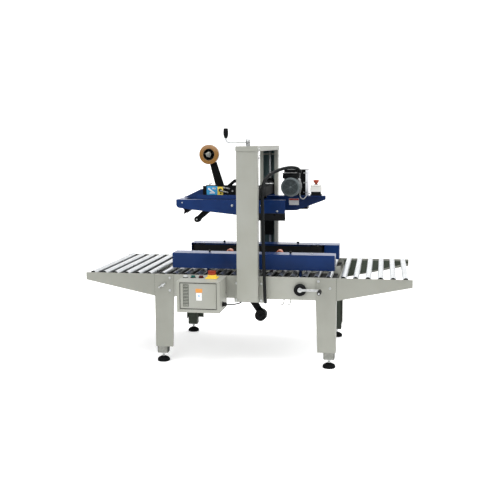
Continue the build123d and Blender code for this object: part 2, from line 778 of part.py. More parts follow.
# ---- side belts ------------------------------------------------------------------
def belt_housing():
    """Near belt housing on its two posts and the blocks that slide on the guide rods."""
    x0 = belt_unit_x - belt_unit_half_length
    x1 = belt_unit_x + belt_unit_half_length
    y0 = -belt_outer_y
    y1 = -belt_unit_inner_y
    sheet = housing_sheet
    shell = block((x0, x1), (y0, y1), (belt_unit_z1 - sheet, belt_unit_z1))
    shell += block((x0, x1), (y0, y0 + sheet), (belt_unit_z0, belt_unit_z1))
    for x in (x0, x1 - sheet):
        shell += block((x, x + sheet), (y0, y1), (belt_unit_z0, belt_unit_z1))
    shell += block((belt_x1 + 2, x1), (y1 - sheet, y1), (belt_unit_z0, belt_unit_z1))
    shell += block((x0, x1), (y0, y1), (belt_unit_z0, belt_unit_z0 + sheet))
    mid_y = -belt_inner_y - belt_thickness - drum_radius
    inner = drum_radius + belt_thickness
    shell += block((belt_x0 + 2 * inner, belt_x1 - 2 * inner),
                   (mid_y - belt_beam_half, mid_y + belt_beam_half),
                   (belt_unit_z0 + 1, belt_unit_z1 - 1))
    shell -= block((belt_x0 + 2 * inner - 1, belt_x1 - 2 * inner + 1),
                   (mid_y - belt_beam_half + beam_wall, mid_y + belt_beam_half - beam_wall),
                   (belt_unit_z0 + beam_wall, belt_unit_z1 - beam_wall))
    idler_x = belt_x0 + inner
    shell += rod_z(drum_radius - drum_clearance, belt_z0, belt_z1, idler_x, mid_y)
    shell += rod_z(drum_shaft_radius, belt_unit_z0, belt_unit_z1, idler_x, mid_y)
    for x in post_xs:
        shell += block((x - post_thickness / 2, x + post_thickness / 2),
                       (mid_y - post_half_depth, mid_y + post_half_depth),
                       (block_z1 - 1, belt_unit_z0 + 1))
        shell += block((x - carriage_block_half, x + carriage_block_half),
                       (mid_y - post_half_depth, mid_y + post_half_depth),
                       (block_z0, block_z1))
    for x in guide_rod_xs:
        shell -= rod_y(guide_rod_radius + pin_clearance, -bed_half_width, 0, x, guide_z)
    shell -= rod_y(width_screw_radius + pin_clearance, -bed_half_width, 0,
                   width_screw_x, guide_z)
    drum_x = belt_x1 - inner
    return shell - rod_z(drum_shaft_radius + pin_clearance, belt_unit_z0 - 1,
                         belt_z1 + 40, drum_x, mid_y)


def side_belt():
    """Near drive belt, an endless flat loop round its two drums."""
    outer = drum_radius + belt_thickness
    mid_y = -belt_inner_y - outer
    loops = []
    for r in (outer, drum_radius):
        loop = block((belt_x0 + outer, belt_x1 - outer), (mid_y - r, mid_y + r),
                     (belt_z0, belt_z1))
        for x in (belt_x0 + outer, belt_x1 - outer):
            loop += rod_z(r, belt_z0, belt_z1, x, mid_y)
        loops.append(loop)
    return loops[0] - loops[1]


def drive_drum():
    outer = drum_radius + belt_thickness
    mid_y = -belt_inner_y - outer
    x = belt_x1 - outer
    drum = rod_z(drum_radius - drum_clearance, belt_z0, belt_z1, x, mid_y)
    return drum + rod_z(drum_shaft_radius, belt_unit_z0 - 4, belt_unit_z1 + 3, x, mid_y)


# ---- width screw and side crank ----------------------------------------------------
def width_screw():
    """Screw with opposite threads for the two belt units, and its side crank."""
    screw = rod_y(width_screw_radius, -bed_half_width - 20, bed_half_width - 10,
                  width_screw_x, guide_z)
    face = -bed_half_width - 8
    screw += rod_y(crank_disc_radius, face - crank_disc_sheet, face, width_screw_x, guide_z)
    arm_y = face - crank_disc_sheet
    end_x = width_screw_x + side_crank_reach
    screw += block((width_screw_x - side_arm_width, end_x), (arm_y - side_arm_sheet, arm_y),
                   (guide_z - side_arm_width / 2, guide_z + side_arm_width / 2))
    screw += rod_y(side_arm_width / 2, arm_y - side_arm_sheet, arm_y, end_x, guide_z)
    return screw + rod_y(crank_rod_radius, arm_y - side_arm_sheet - side_grip_length - 2,
                         arm_y, end_x, guide_z)


def side_grip():
    y1 = -bed_half_width - 8 - crank_disc_sheet - side_arm_sheet - 1
    y0 = y1 - side_grip_length
    x = width_screw_x + side_crank_reach
    grip = rod_y(side_grip_radius, y0, y1, x, guide_z)
    grip = chamfer(grip.edges().filter_by(GeomType.CIRCLE), side_grip_radius / 4)
    return grip - rod_y(crank_rod_radius + grip_clearance, y0 - 1, y1 + 1, x, guide_z)


# ---- control box -----------------------------------------------------------------
def door_span():
    return ((box_x0 + door_margin_x, box_x1 - door_margin_x),
            (box_z0 + door_margin_z0, box_z1 - door_margin_z1))


def control_box():
    """Folded sheet box on the near rail, with the door's opening and fitting holes."""
    (dx0, dx1), (dz0, dz1) = door_span()
    sheet = box_sheet
    box = block((box_x0, box_x1), (box_front_y, -bed_half_width), (box_z0, box_z1))
    box -= block((box_x0 + sheet, box_x1 - sheet),
                 (box_front_y + sheet, -bed_half_width - sheet), (box_z0 + sheet, box_z1 - sheet))
    box -= block((dx0, dx1), (box_front_y - 1, box_front_y + sheet + 1), (dz0, dz1))
    for x in button_xs:
        box -= rod_z(button_radius + 1, box_z1 - sheet - 1, box_z1 + 1, x, button_y)
    return box


def control_box_door():
    """Door panel inset in the box front, with its hinge barrel on the right edge."""
    (dx0, dx1), (dz0, dz1) = door_span()
    g = door_gap
    door = block((dx0 + g, dx1 - g), (box_front_y, box_front_y + box_sheet),
                 (dz0 + g, dz1 - g))
    return door + rod_z(hinge_radius, dz0 + 4, dz1 - 4, dx1 - g - hinge_radius, box_front_y)


def panel_fittings():
    """Bezels round the buttons, the main switch's base and the cable gland."""
    fittings = []
    for x in button_xs:
        ring = rod_z(bezel_radius, box_z1, box_z1 + bezel_height, x, button_y)
        fittings.append(ring - rod_z(button_radius + button_clearance, box_z1 - 1,
                                     box_z1 + bezel_height + 1, x, button_y))
    h = switch_plate_half
    base = block((switch_x - h, switch_x + h), (button_y - h, button_y + h),
                 (box_z1, box_z1 + switch_plate_height))
    base += rod_z(switch_collar_radius, box_z1, box_z1 + switch_collar_height,
                  switch_x, button_y)
    fittings.append(base)
    x0, y, z = control_cable_points[0]
    gland = rod_x(gland_radius, box_x1, box_x1 + gland_nut_length, y, z)
    fittings.append(gland + rod_x(gland_neck_radius, box_x1, x0, y, z))
    return group(fittings)


def push_button(x):
    travel_room = bezel_height + button_rise
    return rod_z(button_radius, box_z1 - button_depth, box_z1 + travel_room, x, button_y)


def switch_knob():
    """Red rotary handle of the main switch, a round boss with a grip bar across it."""
    z0 = box_z1 + switch_collar_height + switch_gap
    half = switch_bar_width / 2
    boss = rod_z(switch_boss_radius, z0, z0 + switch_knob_height / 2, switch_x, button_y)
    bar = block((switch_x - switch_bar_half, switch_x + switch_bar_half),
                (button_y - half, button_y + half), (z0, z0 + switch_knob_height))
    return boss + bar


def bolt(x, z, face):
    """Bolt head on a face that looks towards the operator."""
    return rod_y(bolt_head_radius, face - bolt_head_height, face, x, z)


def fasteners():
    """Bolt heads on the rails, legs and column flanges, a wing bolt and two spring hooks."""
    bolts = [bolt(x, z, -bed_half_width - leg_sheet) for x, z in leg_bolts]
    for z in (flange_z0 + flange_bolt_inset, flange_z1 - flange_bolt_inset):
        for x in (flange_x0 + flange_bolt_inset, flange_x1 - flange_bolt_inset):
            bolts.append(bolt(x, z, -column_y))
    bolts += [far_side(b) for b in bolts]
    rail_low = bed_height - rail_height
    y = -bed_half_width + rail_lip
    for x in hook_xs:
        bolts.append(rod_z(hook_radius, rail_low - hook_length, rail_low, x, y - hook_inset))
    return group(bolts)


# ---- cord routes, chosen by hand ---------------------------------------------------
conduit_points = [
    (300, -4, 1196), (300, -4, 1215), (284, -26, 1228), (250, -92, 1234),
    (212, -180, 1228), (174, -272, 1212), (142, -356, 1188), (124, -410, 1152),
    (120, -436, 1092), (123, -448, 1000), (128, -457, 830), (132, -462, 665),
    (136, -461, 560), (138, -462, 490), (139, -461, 446), (139, -452, 422),
    (138, -435, 410), (136, -418, 413), (136, -418, 428.9)]
stop_cable_points = [
    (368, 56, 1056), (356, 56, 1056), (345, 42, 1049), (337, 35, 1030), (322, 30, 1018),
    (308, 31, 1025), (300, 34, 1040), (298.5, 42, 1056), (298.5, 50, 1061), (298.5, 60, 1061)]
control_cable_points = [
    (-80, -560, 417), (-66, -560, 417), (-54, -549, 415), (-43, -533, 412),
    (-34, -516, 411), (-27, -500, 410), (-18, -484, 409), (-8, -472, 413),
    (-4, -466, 426), (-4, -466, 442)]

# ---- write the nodes ---------------------------------------------------------------
save("bed_frame", bed_frame())
outfeed_table = table_frame()
save("outfeed_table_frame", outfeed_table)
save("infeed_table_frame", other_end(outfeed_table))
for number, x in enumerate(table_roller_xs(), start=1):
    save(f"outfeed_roller_{number}", table_roller(x))
    save(f"infeed_roller_{number}", table_roller(-x))
save("bed_rollers", bed_rollers())
save("outer_legs", four(outer_leg()))
save("inner_legs", four(inner_leg()))
save("column_near", column())
save("column_far", far_side(column()))
save("bridge_cap", bridge_cap())
save("lift_screw_near", lift_screw(with_crank=True))
save("lift_screw_far", lift_screw(with_crank=False))
save("lift_crank_grip", lift_grip())
save("head_beam", head_beam())
save("head_plate_near", head_plate_near())
save("head_plate_far", head_plate_far())
save("head_motor", head_motor())
save("drive_cover", drive_cover())
save("top_drive_roller", drive_roller())
save("stop_box", stop_box())
save("stop_button", stop_button())
for place, put, hub, root in (("upper", in_head, upper_hub, upper_arm_root),
                              ("lower", in_bed, lower_hub, lower_arm_root)):
    save(f"{place}_cartridge_frame", put(cartridge_frame(hub, root)))
    save(f"{place}_front_arm", put(roller_arm(-1)))
    save(f"{place}_rear_arm", put(roller_arm(1)))
    save(f"{place}_tape_hub", put(tape_hub(hub)))
save("tape_roll", in_head(tape_roll()))
for place, put in (("near", lambda s: s), ("far", far_side)):
    save(f"{place}_belt_housing", put(belt_housing()))
    save(f"{place}_side_belt", put(side_belt()))
    save(f"{place}_drive_drum", put(drive_drum()))
save("width_screw", width_screw())
save("width_crank_grip", side_grip())
save("control_box", control_box())
save("control_box_door", control_box_door())
save("control_panel_fittings", panel_fittings())
for name, x in zip(("jog_button", "start_button", "stop_push_button"), button_xs):
    save(name, push_button(x))
save("main_switch_knob", switch_knob())
save("frame_fasteners", fasteners())
save("motor_conduit", cord(conduit_points, conduit_radius))
save("stop_cable", cord(stop_cable_points, stop_cable_radius))
save("control_cable", cord(control_cable_points, control_cable_radius))
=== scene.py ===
import math
import bmesh
import bpy
from mathutils import Matrix, Vector


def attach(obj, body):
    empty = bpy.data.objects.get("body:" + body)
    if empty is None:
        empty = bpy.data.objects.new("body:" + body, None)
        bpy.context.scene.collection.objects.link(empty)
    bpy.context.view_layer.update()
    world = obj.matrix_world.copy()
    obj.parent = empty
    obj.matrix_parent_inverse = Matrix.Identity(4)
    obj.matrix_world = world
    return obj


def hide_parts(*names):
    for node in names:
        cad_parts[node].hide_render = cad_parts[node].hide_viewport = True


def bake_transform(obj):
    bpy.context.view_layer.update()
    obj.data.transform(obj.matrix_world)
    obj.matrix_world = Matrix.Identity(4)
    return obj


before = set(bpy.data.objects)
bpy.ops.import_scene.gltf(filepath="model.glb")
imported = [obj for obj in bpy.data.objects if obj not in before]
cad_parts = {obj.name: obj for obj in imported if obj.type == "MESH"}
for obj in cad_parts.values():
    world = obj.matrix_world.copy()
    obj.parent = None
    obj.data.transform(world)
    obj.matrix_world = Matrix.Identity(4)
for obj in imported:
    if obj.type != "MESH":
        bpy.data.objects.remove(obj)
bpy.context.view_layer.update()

# ---- Camera and studio ---------------------------
# A normal lens stands a little to the outfeed side of the operator and looks slightly
# down. The studio is a pale paper sweep under broad soft lights, brightest from above.
yaw, pitch, roll = (math.radians(a) for a in (9.861, 7.969, -0.289))
look = Vector((-math.sin(yaw) * math.cos(pitch), math.cos(yaw) * math.cos(pitch),
               -math.sin(pitch)))
level_side = Vector((math.cos(yaw), math.sin(yaw), 0))
level_up = level_side.cross(look)
side = level_side * math.cos(roll) + level_up * math.sin(roll)
up = level_up * math.cos(roll) - level_side * math.sin(roll)
camera = bpy.data.objects.new("camera", bpy.data.cameras.new("camera"))
camera.data.lens = 55.4
camera.data.sensor_width = 36
camera.data.clip_end = 60
camera.matrix_world = Matrix((side, up, -look)).transposed().to_4x4()
camera.matrix_world.translation = (0.8487, -4.9949, 1.3954)
bpy.context.collection.objects.link(camera)
bpy.context.scene.camera = camera
bpy.context.scene.view_settings.view_transform = "Standard"


def hex_colour(code):
    """An sRGB hex colour as the linear values that the shader nodes take."""
    parts = [int(code[i:i + 2], 16) / 255 for i in (0, 2, 4)]
    return [c / 12.92 if c <= 0.04045 else ((c + 0.055) / 1.055) ** 2.4 for c in parts] + [1]


def add(material, kind, inputs=(), **settings):
    """Add a node with its settings, and with a value or a link on each named input."""
    node = material.node_tree.nodes.new(kind)
    for name, value in settings.items():
        setattr(node, name, value)
    for name, value in dict(inputs).items():
        if isinstance(value, bpy.types.NodeSocket):
            material.node_tree.links.new(value, node.inputs[name])
        else:
            node.inputs[name].default_value = value
    return node


def new_material(name, inputs):
    """A material with one Principled shader. Returns the material and the shader."""
    material = bpy.data.materials.new(name)
    material.use_nodes = True
    shader = material.node_tree.nodes["Principled BSDF"]
    for key, value in inputs.items():
        shader.inputs[key].default_value = value
    return material, shader


def feed(material, shader, key, socket):
    material.node_tree.links.new(socket, shader.inputs[key])


def in_millimetres(material, millimetres):
    """Noise whose spots are about this many millimetres across, fixed to the object."""
    where = add(material, "ShaderNodeTexCoord").outputs["Object"]
    return add(material, "ShaderNodeTexNoise", {
        "Vector": where, "Scale": 1000 / millimetres, "Detail": 3.0}).outputs["Fac"]


def two_tones(material, shader, socket, first, second, low=0.35, high=0.65):
    """Base colour that drifts between two close tones where the pattern rises."""
    ramp = add(material, "ShaderNodeValToRGB", {"Fac": socket})
    ramp.color_ramp.elements[0].position = low
    ramp.color_ramp.elements[0].color = hex_colour(first)
    ramp.color_ramp.elements[1].position = high
    ramp.color_ramp.elements[1].color = hex_colour(second)
    feed(material, shader, "Base Color", ramp.outputs["Color"])


def grain(material, shader, socket, depth_mm, strength=1.0):
    """Surface relief of this many millimetres."""
    bump = add(material, "ShaderNodeBump", {"Height": socket, "Strength": strength,
                                            "Distance": depth_mm / 1000})
    feed(material, shader, "Normal", bump.outputs["Normal"])


def mottled(name, first, second, spots_mm, inputs, relief_mm=0.0):
    """A material that drifts between two close tones in spots of one size."""
    material, shader = new_material(name, inputs)
    spots = in_millimetres(material, spots_mm)
    two_tones(material, shader, spots, first, second)
    if relief_mm:
        grain(material, shader, spots, relief_mm)
    return material


# Seamless white paper: matte, with a faint tooth.
paper = mottled("studio_paper", "fbfbfb", "fdfdfd", 40, {
    "Roughness": 0.9, "Specular IOR Level": 0.1, "Emission Color": (1, 1, 1, 1),
    "Emission Strength": 0.42})
sweep = bmesh.new()
curve_y = [(-2.6, 0), (5.0, 0)]
curve_y += [(5.0 + 3 * math.sin(a * math.pi / 24), 3 - 3 * math.cos(a * math.pi / 24))
            for a in range(1, 13)] + [(8.0, 9.0)]
rows = [[sweep.verts.new((x, y, z)) for x in (-7, 4.5)] for y, z in curve_y]
for low, high in zip(rows, rows[1:]):
    sweep.faces.new((low[0], low[1], high[1], high[0]))
mesh = bpy.data.meshes.new("paper_sweep")
sweep.to_mesh(mesh)
sweep.free()
mesh.materials.append(paper)
mesh.shade_smooth()
floor = bpy.data.objects.new("paper_sweep", mesh)
bpy.context.collection.objects.link(floor)

world = bpy.data.worlds.new("studio")
world.use_nodes = True
world.node_tree.nodes["Background"].inputs["Color"].default_value = (1, 1, 1, 1)
direction = add(world, "ShaderNodeTexCoord").outputs["Generated"]
height = add(world, "ShaderNodeSeparateXYZ", {"Vector": direction})
glow = add(world, "ShaderNodeMapRange", {"Value": height.outputs["Z"], "From Min": -0.12,
                                         "To Min": 0.1, "To Max": 1.35})
world.node_tree.links.new(glow.outputs["Result"],
                          world.node_tree.nodes["Background"].inputs["Strength"])
bpy.context.scene.world = world
for name, place, target, size, watts in (
        ("overhead_softbox", (0.2, -0.6, 4.6), (0, 0.1, 0.6), 4.5, 150),
        ("front_softbox", (-1.2, -4.9, 3.0), (0, 0, 0.8), 3.0, 60),
        ("right_softbox", (4.6, -1.8, 2.8), (0, 0, 0.8), 2.5, 45)):
    lamp = bpy.data.lights.new(name, "AREA")
    lamp.size = size
    lamp.energy = watts
    holder = bpy.data.objects.new(name, lamp)
    holder.location = place
    aim = Vector(target) - Vector(place)
    holder.rotation_euler = aim.to_track_quat("-Z", "Y").to_euler()
    bpy.context.collection.objects.link(holder)

# ---- Motor conduit -------------------------------
# Corrugated black PVC conduit with the motor's wires. It rises from the terminal box,
# arches over to the near column, hangs beside it and goes up into the hollow side rail.
# The far end is fixed to the frame; the run is one fixed mesh on no body and does not stretch.
CENTRE_LINE_Y = 77.0
# Up, towards the operator and away from the operator.
UP, NEAR, FAR = (0, 0, 1), (0, -1, 0), (0, 1, 0)


def at(x, y, z):
    """A point in millimetres from the conveyor's centre line, in the frame's metres."""
    return Vector((x / 1000, (y + CENTRE_LINE_Y) / 1000, z / 1000))


def spline_object(name, points, radius=0.0):
    """A smooth line that these points pull towards them, round in section."""
    curve = bpy.data.curves.new(name, "CURVE")
    curve.dimensions = "3D"
    spline = curve.splines.new("NURBS")
    spline.points.add(len(points) - 1)
    for point, place in zip(spline.points, points):
        point.co = (*place, 1)
    spline.order_u = 3
    spline.use_endpoint_u = True
    curve.resolution_u = 16
    curve.bevel_depth = radius
    curve.bevel_resolution = 5
    curve.use_fill_caps = radius > 0
    piece = bpy.data.objects.new(name, curve)
    bpy.context.collection.objects.link(piece)
    return piece


def lead(name, route, radius, material, body):
    """A solid cord or bent wire along a route, riding on a body."""
    piece = spline_object(name, route, radius)
    piece.data.materials.append(material)
    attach(piece, body)
    return piece


def points_along(line, step):
    """Points read from the spline, evenly spaced."""
    bpy.context.view_layer.update()
    traced = bpy.data.meshes.new_from_object(line)
    dots = [v.co.copy() for v in traced.vertices]
    bpy.data.meshes.remove(traced)
    lengths = [0.0]
    for a, b in zip(dots, dots[1:]):
        lengths.append(lengths[-1] + (b - a).length)
    count = max(2, round(lengths[-1] / step))
    out, k = [], 0
    for i in range(count + 1):
        s = lengths[-1] * i / count
        while k < len(dots) - 2 and lengths[k + 1] < s:
            k += 1
        span = lengths[k + 1] - lengths[k]
        out.append(dots[k].lerp(dots[k + 1], (s - lengths[k]) / span if span else 0))
    return out


def tube_along(bm, path, radii, segments):
    """A tube round the path, with the radii taken in turn from ring to ring."""
    rings, across = [], None
    for i, point in enumerate(path):
        ahead = (path[min(i + 1, len(path) - 1)] - path[max(i - 1, 0)]).normalized()
        across = ahead.orthogonal() if across is None else across - ahead * across.dot(ahead)
        across.normalize()
        beside = ahead.cross(across)
        r = radii[i % len(radii)]
        rings.append([bm.verts.new(point + r * (across * math.cos(a) + beside * math.sin(a)))
                      for a in (math.tau * k / segments for k in range(segments))])
    for a, b in zip(rings, rings[1:]):
        for k in range(segments):
            bm.faces.new((a[k], a[(k + 1) % segments], b[(k + 1) % segments], b[k]))
    bm.faces.new(rings[0][::-1])
    bm.faces.new(rings[-1])


def round_edges(piece, millimetres, degrees):
    """Small rounds on every edge that is sharper than this angle."""
    rounding = piece.modifiers.new("rounded_edges", "BEVEL")
    rounding.width = millimetres / 1000
    rounding.segments = 2
    rounding.limit_method = "ANGLE"
    rounding.angle_limit = math.radians(degrees)


def rod(bm, start, end, radius, segments):
    """A straight round rod between two points."""
    tube_along(bm, [start, start.lerp(end, 0.5), end], (radius,), segments)


def make(name, bm, material, body, slot=None, bevel=0.0, smooth=32, replaces=None):
    """Turn the mesh into a named piece that rides on a body."""
    bmesh.ops.recalc_face_normals(bm, faces=bm.faces)
    mesh = bpy.data.meshes.new(name)
    bm.to_mesh(mesh)
    bm.free()
    mesh.materials.append(material)
    mesh.shade_smooth()
    mesh.set_sharp_from_angle(angle=math.radians(smooth))
    piece = bpy.data.objects.new(name, mesh)
    bpy.context.collection.objects.link(piece)
    if bevel:
        round_edges(piece, bevel, 40)
    if body:
        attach(piece, body)
    if replaces:
        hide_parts(replaces)
    return piece


# Flexible PVC: black, slightly waxy, dust in the grooves.
black_pvc = mottled("flexible_black_pvc", "07090a", "101314", 9, {
    "Roughness": 0.42, "IOR": 1.53, "Specular IOR Level": 0.15}, 0.15)

conduit_route = [at(*p) for p in (
    (300, -4, 1196), (300, -4, 1215), (284, -26, 1228), (250, -92, 1234),
    (212, -180, 1228), (174, -272, 1212), (142, -356, 1188), (124, -410, 1152),
    (120, -436, 1092), (123, -448, 1000), (128, -457, 830), (132, -462, 665),
    (136, -461, 560), (138, -462, 490), (139, -461, 446), (139, -452, 422),
    (138, -435, 410), (136, -418, 413), (136, -418, 428.9))]
line = spline_object("conduit_line", conduit_route)
path = points_along(line, 0.0016)
route = points_along(line, 0.006)
bpy.data.objects.remove(line)
tube = bmesh.new()
tube_along(tube, path, (0.0105, 0.0103, 0.0094, 0.0103), 20)
conduit = make("corrugated_conduit", tube, black_pvc, None, smooth=70)
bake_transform(conduit)
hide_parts("motor_conduit")

# ---- Emergency stop cable ------------------------
# Thin grey PVC lead that sags from the stop box's foot and back up to the gearbox.
# Light grey PVC: satin, evenly coloured.
grey_pvc = mottled("light_grey_pvc", "8e9090", "a2a4a4", 6,
                   {"Roughness": 0.5, "IOR": 1.53})
stop_route = [at(*p) for p in (
    (368, 56, 1056), (356, 56, 1056), (345, 42, 1049), (337, 35, 1030), (322, 30, 1018),
    (308, 31, 1025), (300, 34, 1040), (298.5, 42, 1056), (298.5, 50, 1061),
    (298.5, 60, 1061))]
stop_lead = lead("stop_lead", stop_route, 0.0035, grey_pvc, "head")
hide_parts("stop_cable")

# ---- Control cable -------------------------------
# Black lead from the control box's gland to the foot of the near column, then up inside.
control_route = [at(*p) for p in (
    (-80, -560, 417), (-66, -560, 417), (-54, -549, 415), (-43, -533, 412),
    (-34, -516, 411), (-27, -500, 410), (-18, -484, 409), (-8, -472, 413),
    (-4, -466, 426), (-4, -466, 442))]
control_lead = lead("control_lead", control_route, 0.004, black_pvc, "root")
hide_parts("control_cable")

# ---- Bed frame and roller tables -----------------
# Folded steel channels in light grey powder coat, with a tapered table bolted on at
# each end. The sheet is 3 mm with small rounded folds.


def coated_steel(name, first, second, roughness, coat, shine=0.22):
    """Powder-coated sheet: satin, with faint orange peel drawn at 5 mm so that it shows."""
    material, shader = new_material(name, {
        "Roughness": roughness, "IOR": 1.5, "Specular IOR Level": shine,
        "Coat Weight": coat, "Coat Roughness": 0.2})
    two_tones(material, shader, in_millimetres(material, 220), first, second)
    grain(material, shader, in_millimetres(material, 5), 0.06)
    return material


grey_coat = coated_steel("light_grey_powder_coat", "97988f", "9d9e97", 0.48, 0.1)


def dress(material, *nodes, fold=0.0):
    """Give CAD nodes a finish, and round their sheet-metal edges."""
    for name in nodes:
        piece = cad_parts[name]
        for holder in piece.material_slots:
            holder.material = material
        if fold:
            weld = piece.modifiers.new("joined_corners", "WELD")
            weld.merge_threshold = 0.00002
            round_edges(piece, fold, 50)


dress(grey_coat, "bed_frame", fold=0.8)
# The tables and the legs get a darker copy of the same grey: painted shade.
shaded_grey_coat = coated_steel("light_grey_powder_coat_painted_shade", "8b8c84", "91928a", 0.48,
                           0.1)
dress(shaded_grey_coat, "infeed_table_frame", "outfeed_table_frame", fold=0.8)

# ---- Rollers -------------------------------------
# Gravity rollers: zinc-plated steel tube on a fixed axle. The plating is bright with
# fine draw lines round the tube, and boxes leave long dull scuffs.


def drawn_lines(material, scale):
    """Noise stretched along one axis, as drawing or rubbing leaves it."""
    where = add(material, "ShaderNodeTexCoord").outputs["Object"]
    drawn = add(material, "ShaderNodeMapping", {"Vector": where, "Scale": scale})
    return add(material, "ShaderNodeTexNoise", {"Vector": drawn.outputs["Vector"],
                                                "Scale": 1.0, "Detail": 2.0}).outputs["Fac"]


zinc_tube, shader = new_material("zinc_plated_tube", {"Metallic": 1.0})
draw_lines = drawn_lines(zinc_tube, (8, 260, 8))
two_tones(zinc_tube, shader, draw_lines, "b4b7b9", "dcdfe1", 0.3, 0.7)
scuffs = in_millimetres(zinc_tube, 70)
dulling = add(zinc_tube, "ShaderNodeMapRange", {"Value": scuffs, "To Min": 0.2,
                                                "To Max": 0.4})
feed(zinc_tube, shader, "Roughness", dulling.outputs["Result"])
grain(zinc_tube, shader, draw_lines, 0.05)
rollers = [f"{end}_roller_{i}" for end in ("infeed", "outfeed") for i in range(1, 7)]
dress(zinc_tube, "bed_rollers", *rollers)
# Glass-filled nylon: the black bearing housings pressed into the tube's ends.
black_nylon = mottled("black_nylon", "08090a", "131516", 6, {
    "Roughness": 0.5, "IOR": 1.53, "Specular IOR Level": 0.15})


ROLLER_Z, ROLLER_PITCH = 562, 75
AXLE_HOLE, TUBE_BORE = 5.3, 17.4


def bearing_housings(name, xs, body):
    """Flat rings in both ends of the rollers at these places along the conveyor."""
    bm, sides = bmesh.new(), 36
    for x in xs:
        for way in (-1, 1):
            loops = [[bm.verts.new(at(x + r * math.cos(a), way * y,
                                      ROLLER_Z + r * math.sin(a)))
                      for a in (math.tau * k / sides for k in range(sides))]
                     for r, y in ((AXLE_HOLE, 411), (TUBE_BORE, 411), (TUBE_BORE, 412.8),
                                  (AXLE_HOLE, 412.8))]
            for a, b in zip(loops, loops[1:] + loops[:1]):
                for k in range(sides):
                    bm.faces.new((a[k - 1], a[k], b[k], b[k - 1]))
    make(name, bm, black_nylon, body, smooth=50)


bearing_housings("bed_bearing_housings", [ROLLER_PITCH * k for k in range(-7, 8)], "root")
for end, way in (("infeed", -1), ("outfeed", 1)):
    for i in range(6):
        bearing_housings(f"{end}_{i + 1}_bearing_housings", [way * (616 + ROLLER_PITCH * i)],
                         f"{end}_roller_{i + 1}")

# ---- Legs ----------------------------------------
# Four folded legs lap over the rails, in the darker grey copy that is painted shade. Inside
# each slides a zinc-plated rectangular leg that ends in a threaded stem and a rubber foot.
dress(shaded_grey_coat, "outer_legs", fold=1.2)


def turned(bm, profile, base, axis, segments=40):
    """A shape turned on a lathe: (radius, height) pairs up the axis from its base."""
    axis = Vector(axis).normalized()
    across = axis.orthogonal().normalized()
    beside = axis.cross(across)
    base = Vector(base)
    rings = []
    for radius, height in profile:
        centre = base + axis * height / 1000
        if radius < 1e-6:
            rings.append([bm.verts.new(centre)])
            continue
        angles = [math.tau * k / segments for k in range(segments)]
        rings.append([bm.verts.new(centre + radius / 1000 * (across * math.cos(a)
                      + beside * math.sin(a))) for a in angles])
    for a, b in zip(rings, rings[1:]):
        for k in range(segments):
            n = (k + 1) % segments
            corners = [ring[i % len(ring)] for ring, i in ((a, k), (a, n), (b, n), (b, k))]
            corners = list(dict.fromkeys(corners))
            if len(corners) > 2:
                bm.faces.new(corners)
    for ring, flip in ((rings[0], True), (rings[-1], False)):
        if len(ring) > 1:
            bm.faces.new(ring[::-1] if flip else ring)


def lathe(name, profile, base, axis, material, body, slot=None, segments=40, **look):
    """A named piece that is one turned shape."""
    bm = bmesh.new()
    turned(bm, profile, base, axis, segments)
    return make(name, bm, material, body, slot, **look)


def hex_head(bm, base, axis, across_flats, height):
    """A hexagon head or nut with its corners chamfered."""
    r = across_flats / math.sqrt(3)
    turned(bm, [(0, 0), (r * 0.94, 0), (r, height * 0.12), (r, height * 0.82),
                (r * 0.86, height), (0, height)], base, axis, 6)


def thread(radius, pitch, length):
    """Profile of a screw thread as plain grooves, drawn at a pitch that can be seen."""
    profile, h = [(0, 0)], 0.0
    while h < length - pitch:
        profile += [(radius * 0.86, h + pitch * 0.05), (radius, h + pitch * 0.35),
                    (radius, h + pitch * 0.6), (radius * 0.86, h + pitch * 0.95)]
        h += pitch
    return profile + [(radius * 0.86, length), (0, length)]


def bright_zinc(name, first, second, roughness):
    """Electroplated zinc: bluish white metal with a faint cloudy variation."""
    material, shader = new_material(name, {"Metallic": 1.0, "Roughness": roughness})
    two_tones(material, shader, in_millimetres(material, 14), first, second)
    grain(material, shader, in_millimetres(material, 2.5), 0.03)
    return material


zinc_plate = bright_zinc("electroplated_zinc", "b4b6b6", "cfd1d1", 0.34)
# Inner leg: zinc-plated tube gone dull, so it is closer to the paint than to bright metal.
dull_zinc = bright_zinc("dulled_zinc_plate", "7f807b", "90918b", 0.55)

# Moulded rubber: matte, with a little dust.
foot_rubber = mottled("moulded_rubber", "08090a", "111314", 8, {
    "Roughness": 0.75, "IOR": 1.52, "Specular IOR Level": 0.08}, 0.2)

LEG_X, LEG_Y, LEG_TOP = 533, 399.5, 356
tubes, stems, pads = bmesh.new(), bmesh.new(), bmesh.new()
for x in (-LEG_X, LEG_X):
    for y in (-LEG_Y, LEG_Y):
        corners = []
        for cx, cy, start in ((1, 1, 0), (-1, 1, 90), (-1, -1, 180), (1, -1, 270)):
            for turn in (0, 30, 60, 90):
                a = math.radians(start + turn)
                corners.append((cx * 27 + 6 * math.cos(a), cy * 20 + 6 * math.sin(a)))
        loops = []
        for z, inset in ((56, 0.93), (56, 1), (LEG_TOP, 1), (LEG_TOP, 0.9), (60, 0.9),
                         (60, 0.2)):
            loops.append([tubes.verts.new(at(x + u * inset, y + v * inset, z))
                          for u, v in corners])
        tubes.faces.new(loops[0][::-1])
        for a, b in zip(loops, loops[1:]):
            for k in range(16):
                tubes.faces.new((a[k], a[(k + 1) % 16], b[(k + 1) % 16], b[k]))
        tubes.faces.new(loops[-1])
        turned(stems, thread(6, 3, 44), at(x, y, 14), UP, 20)
        hex_head(stems, at(x, y, 44), UP, 19, 10)
        hex_head(stems, at(x, y, 33), UP, 17, 6)
        turned(pads, [(0, 0), (37.5, 0), (39.6, 2), (40, 8), (39.2, 14), (35, 20),
                      (26, 26), (17, 30), (12.5, 32), (11, 33.5), (0, 33.5)],
               at(x, y, 0), UP, 48)
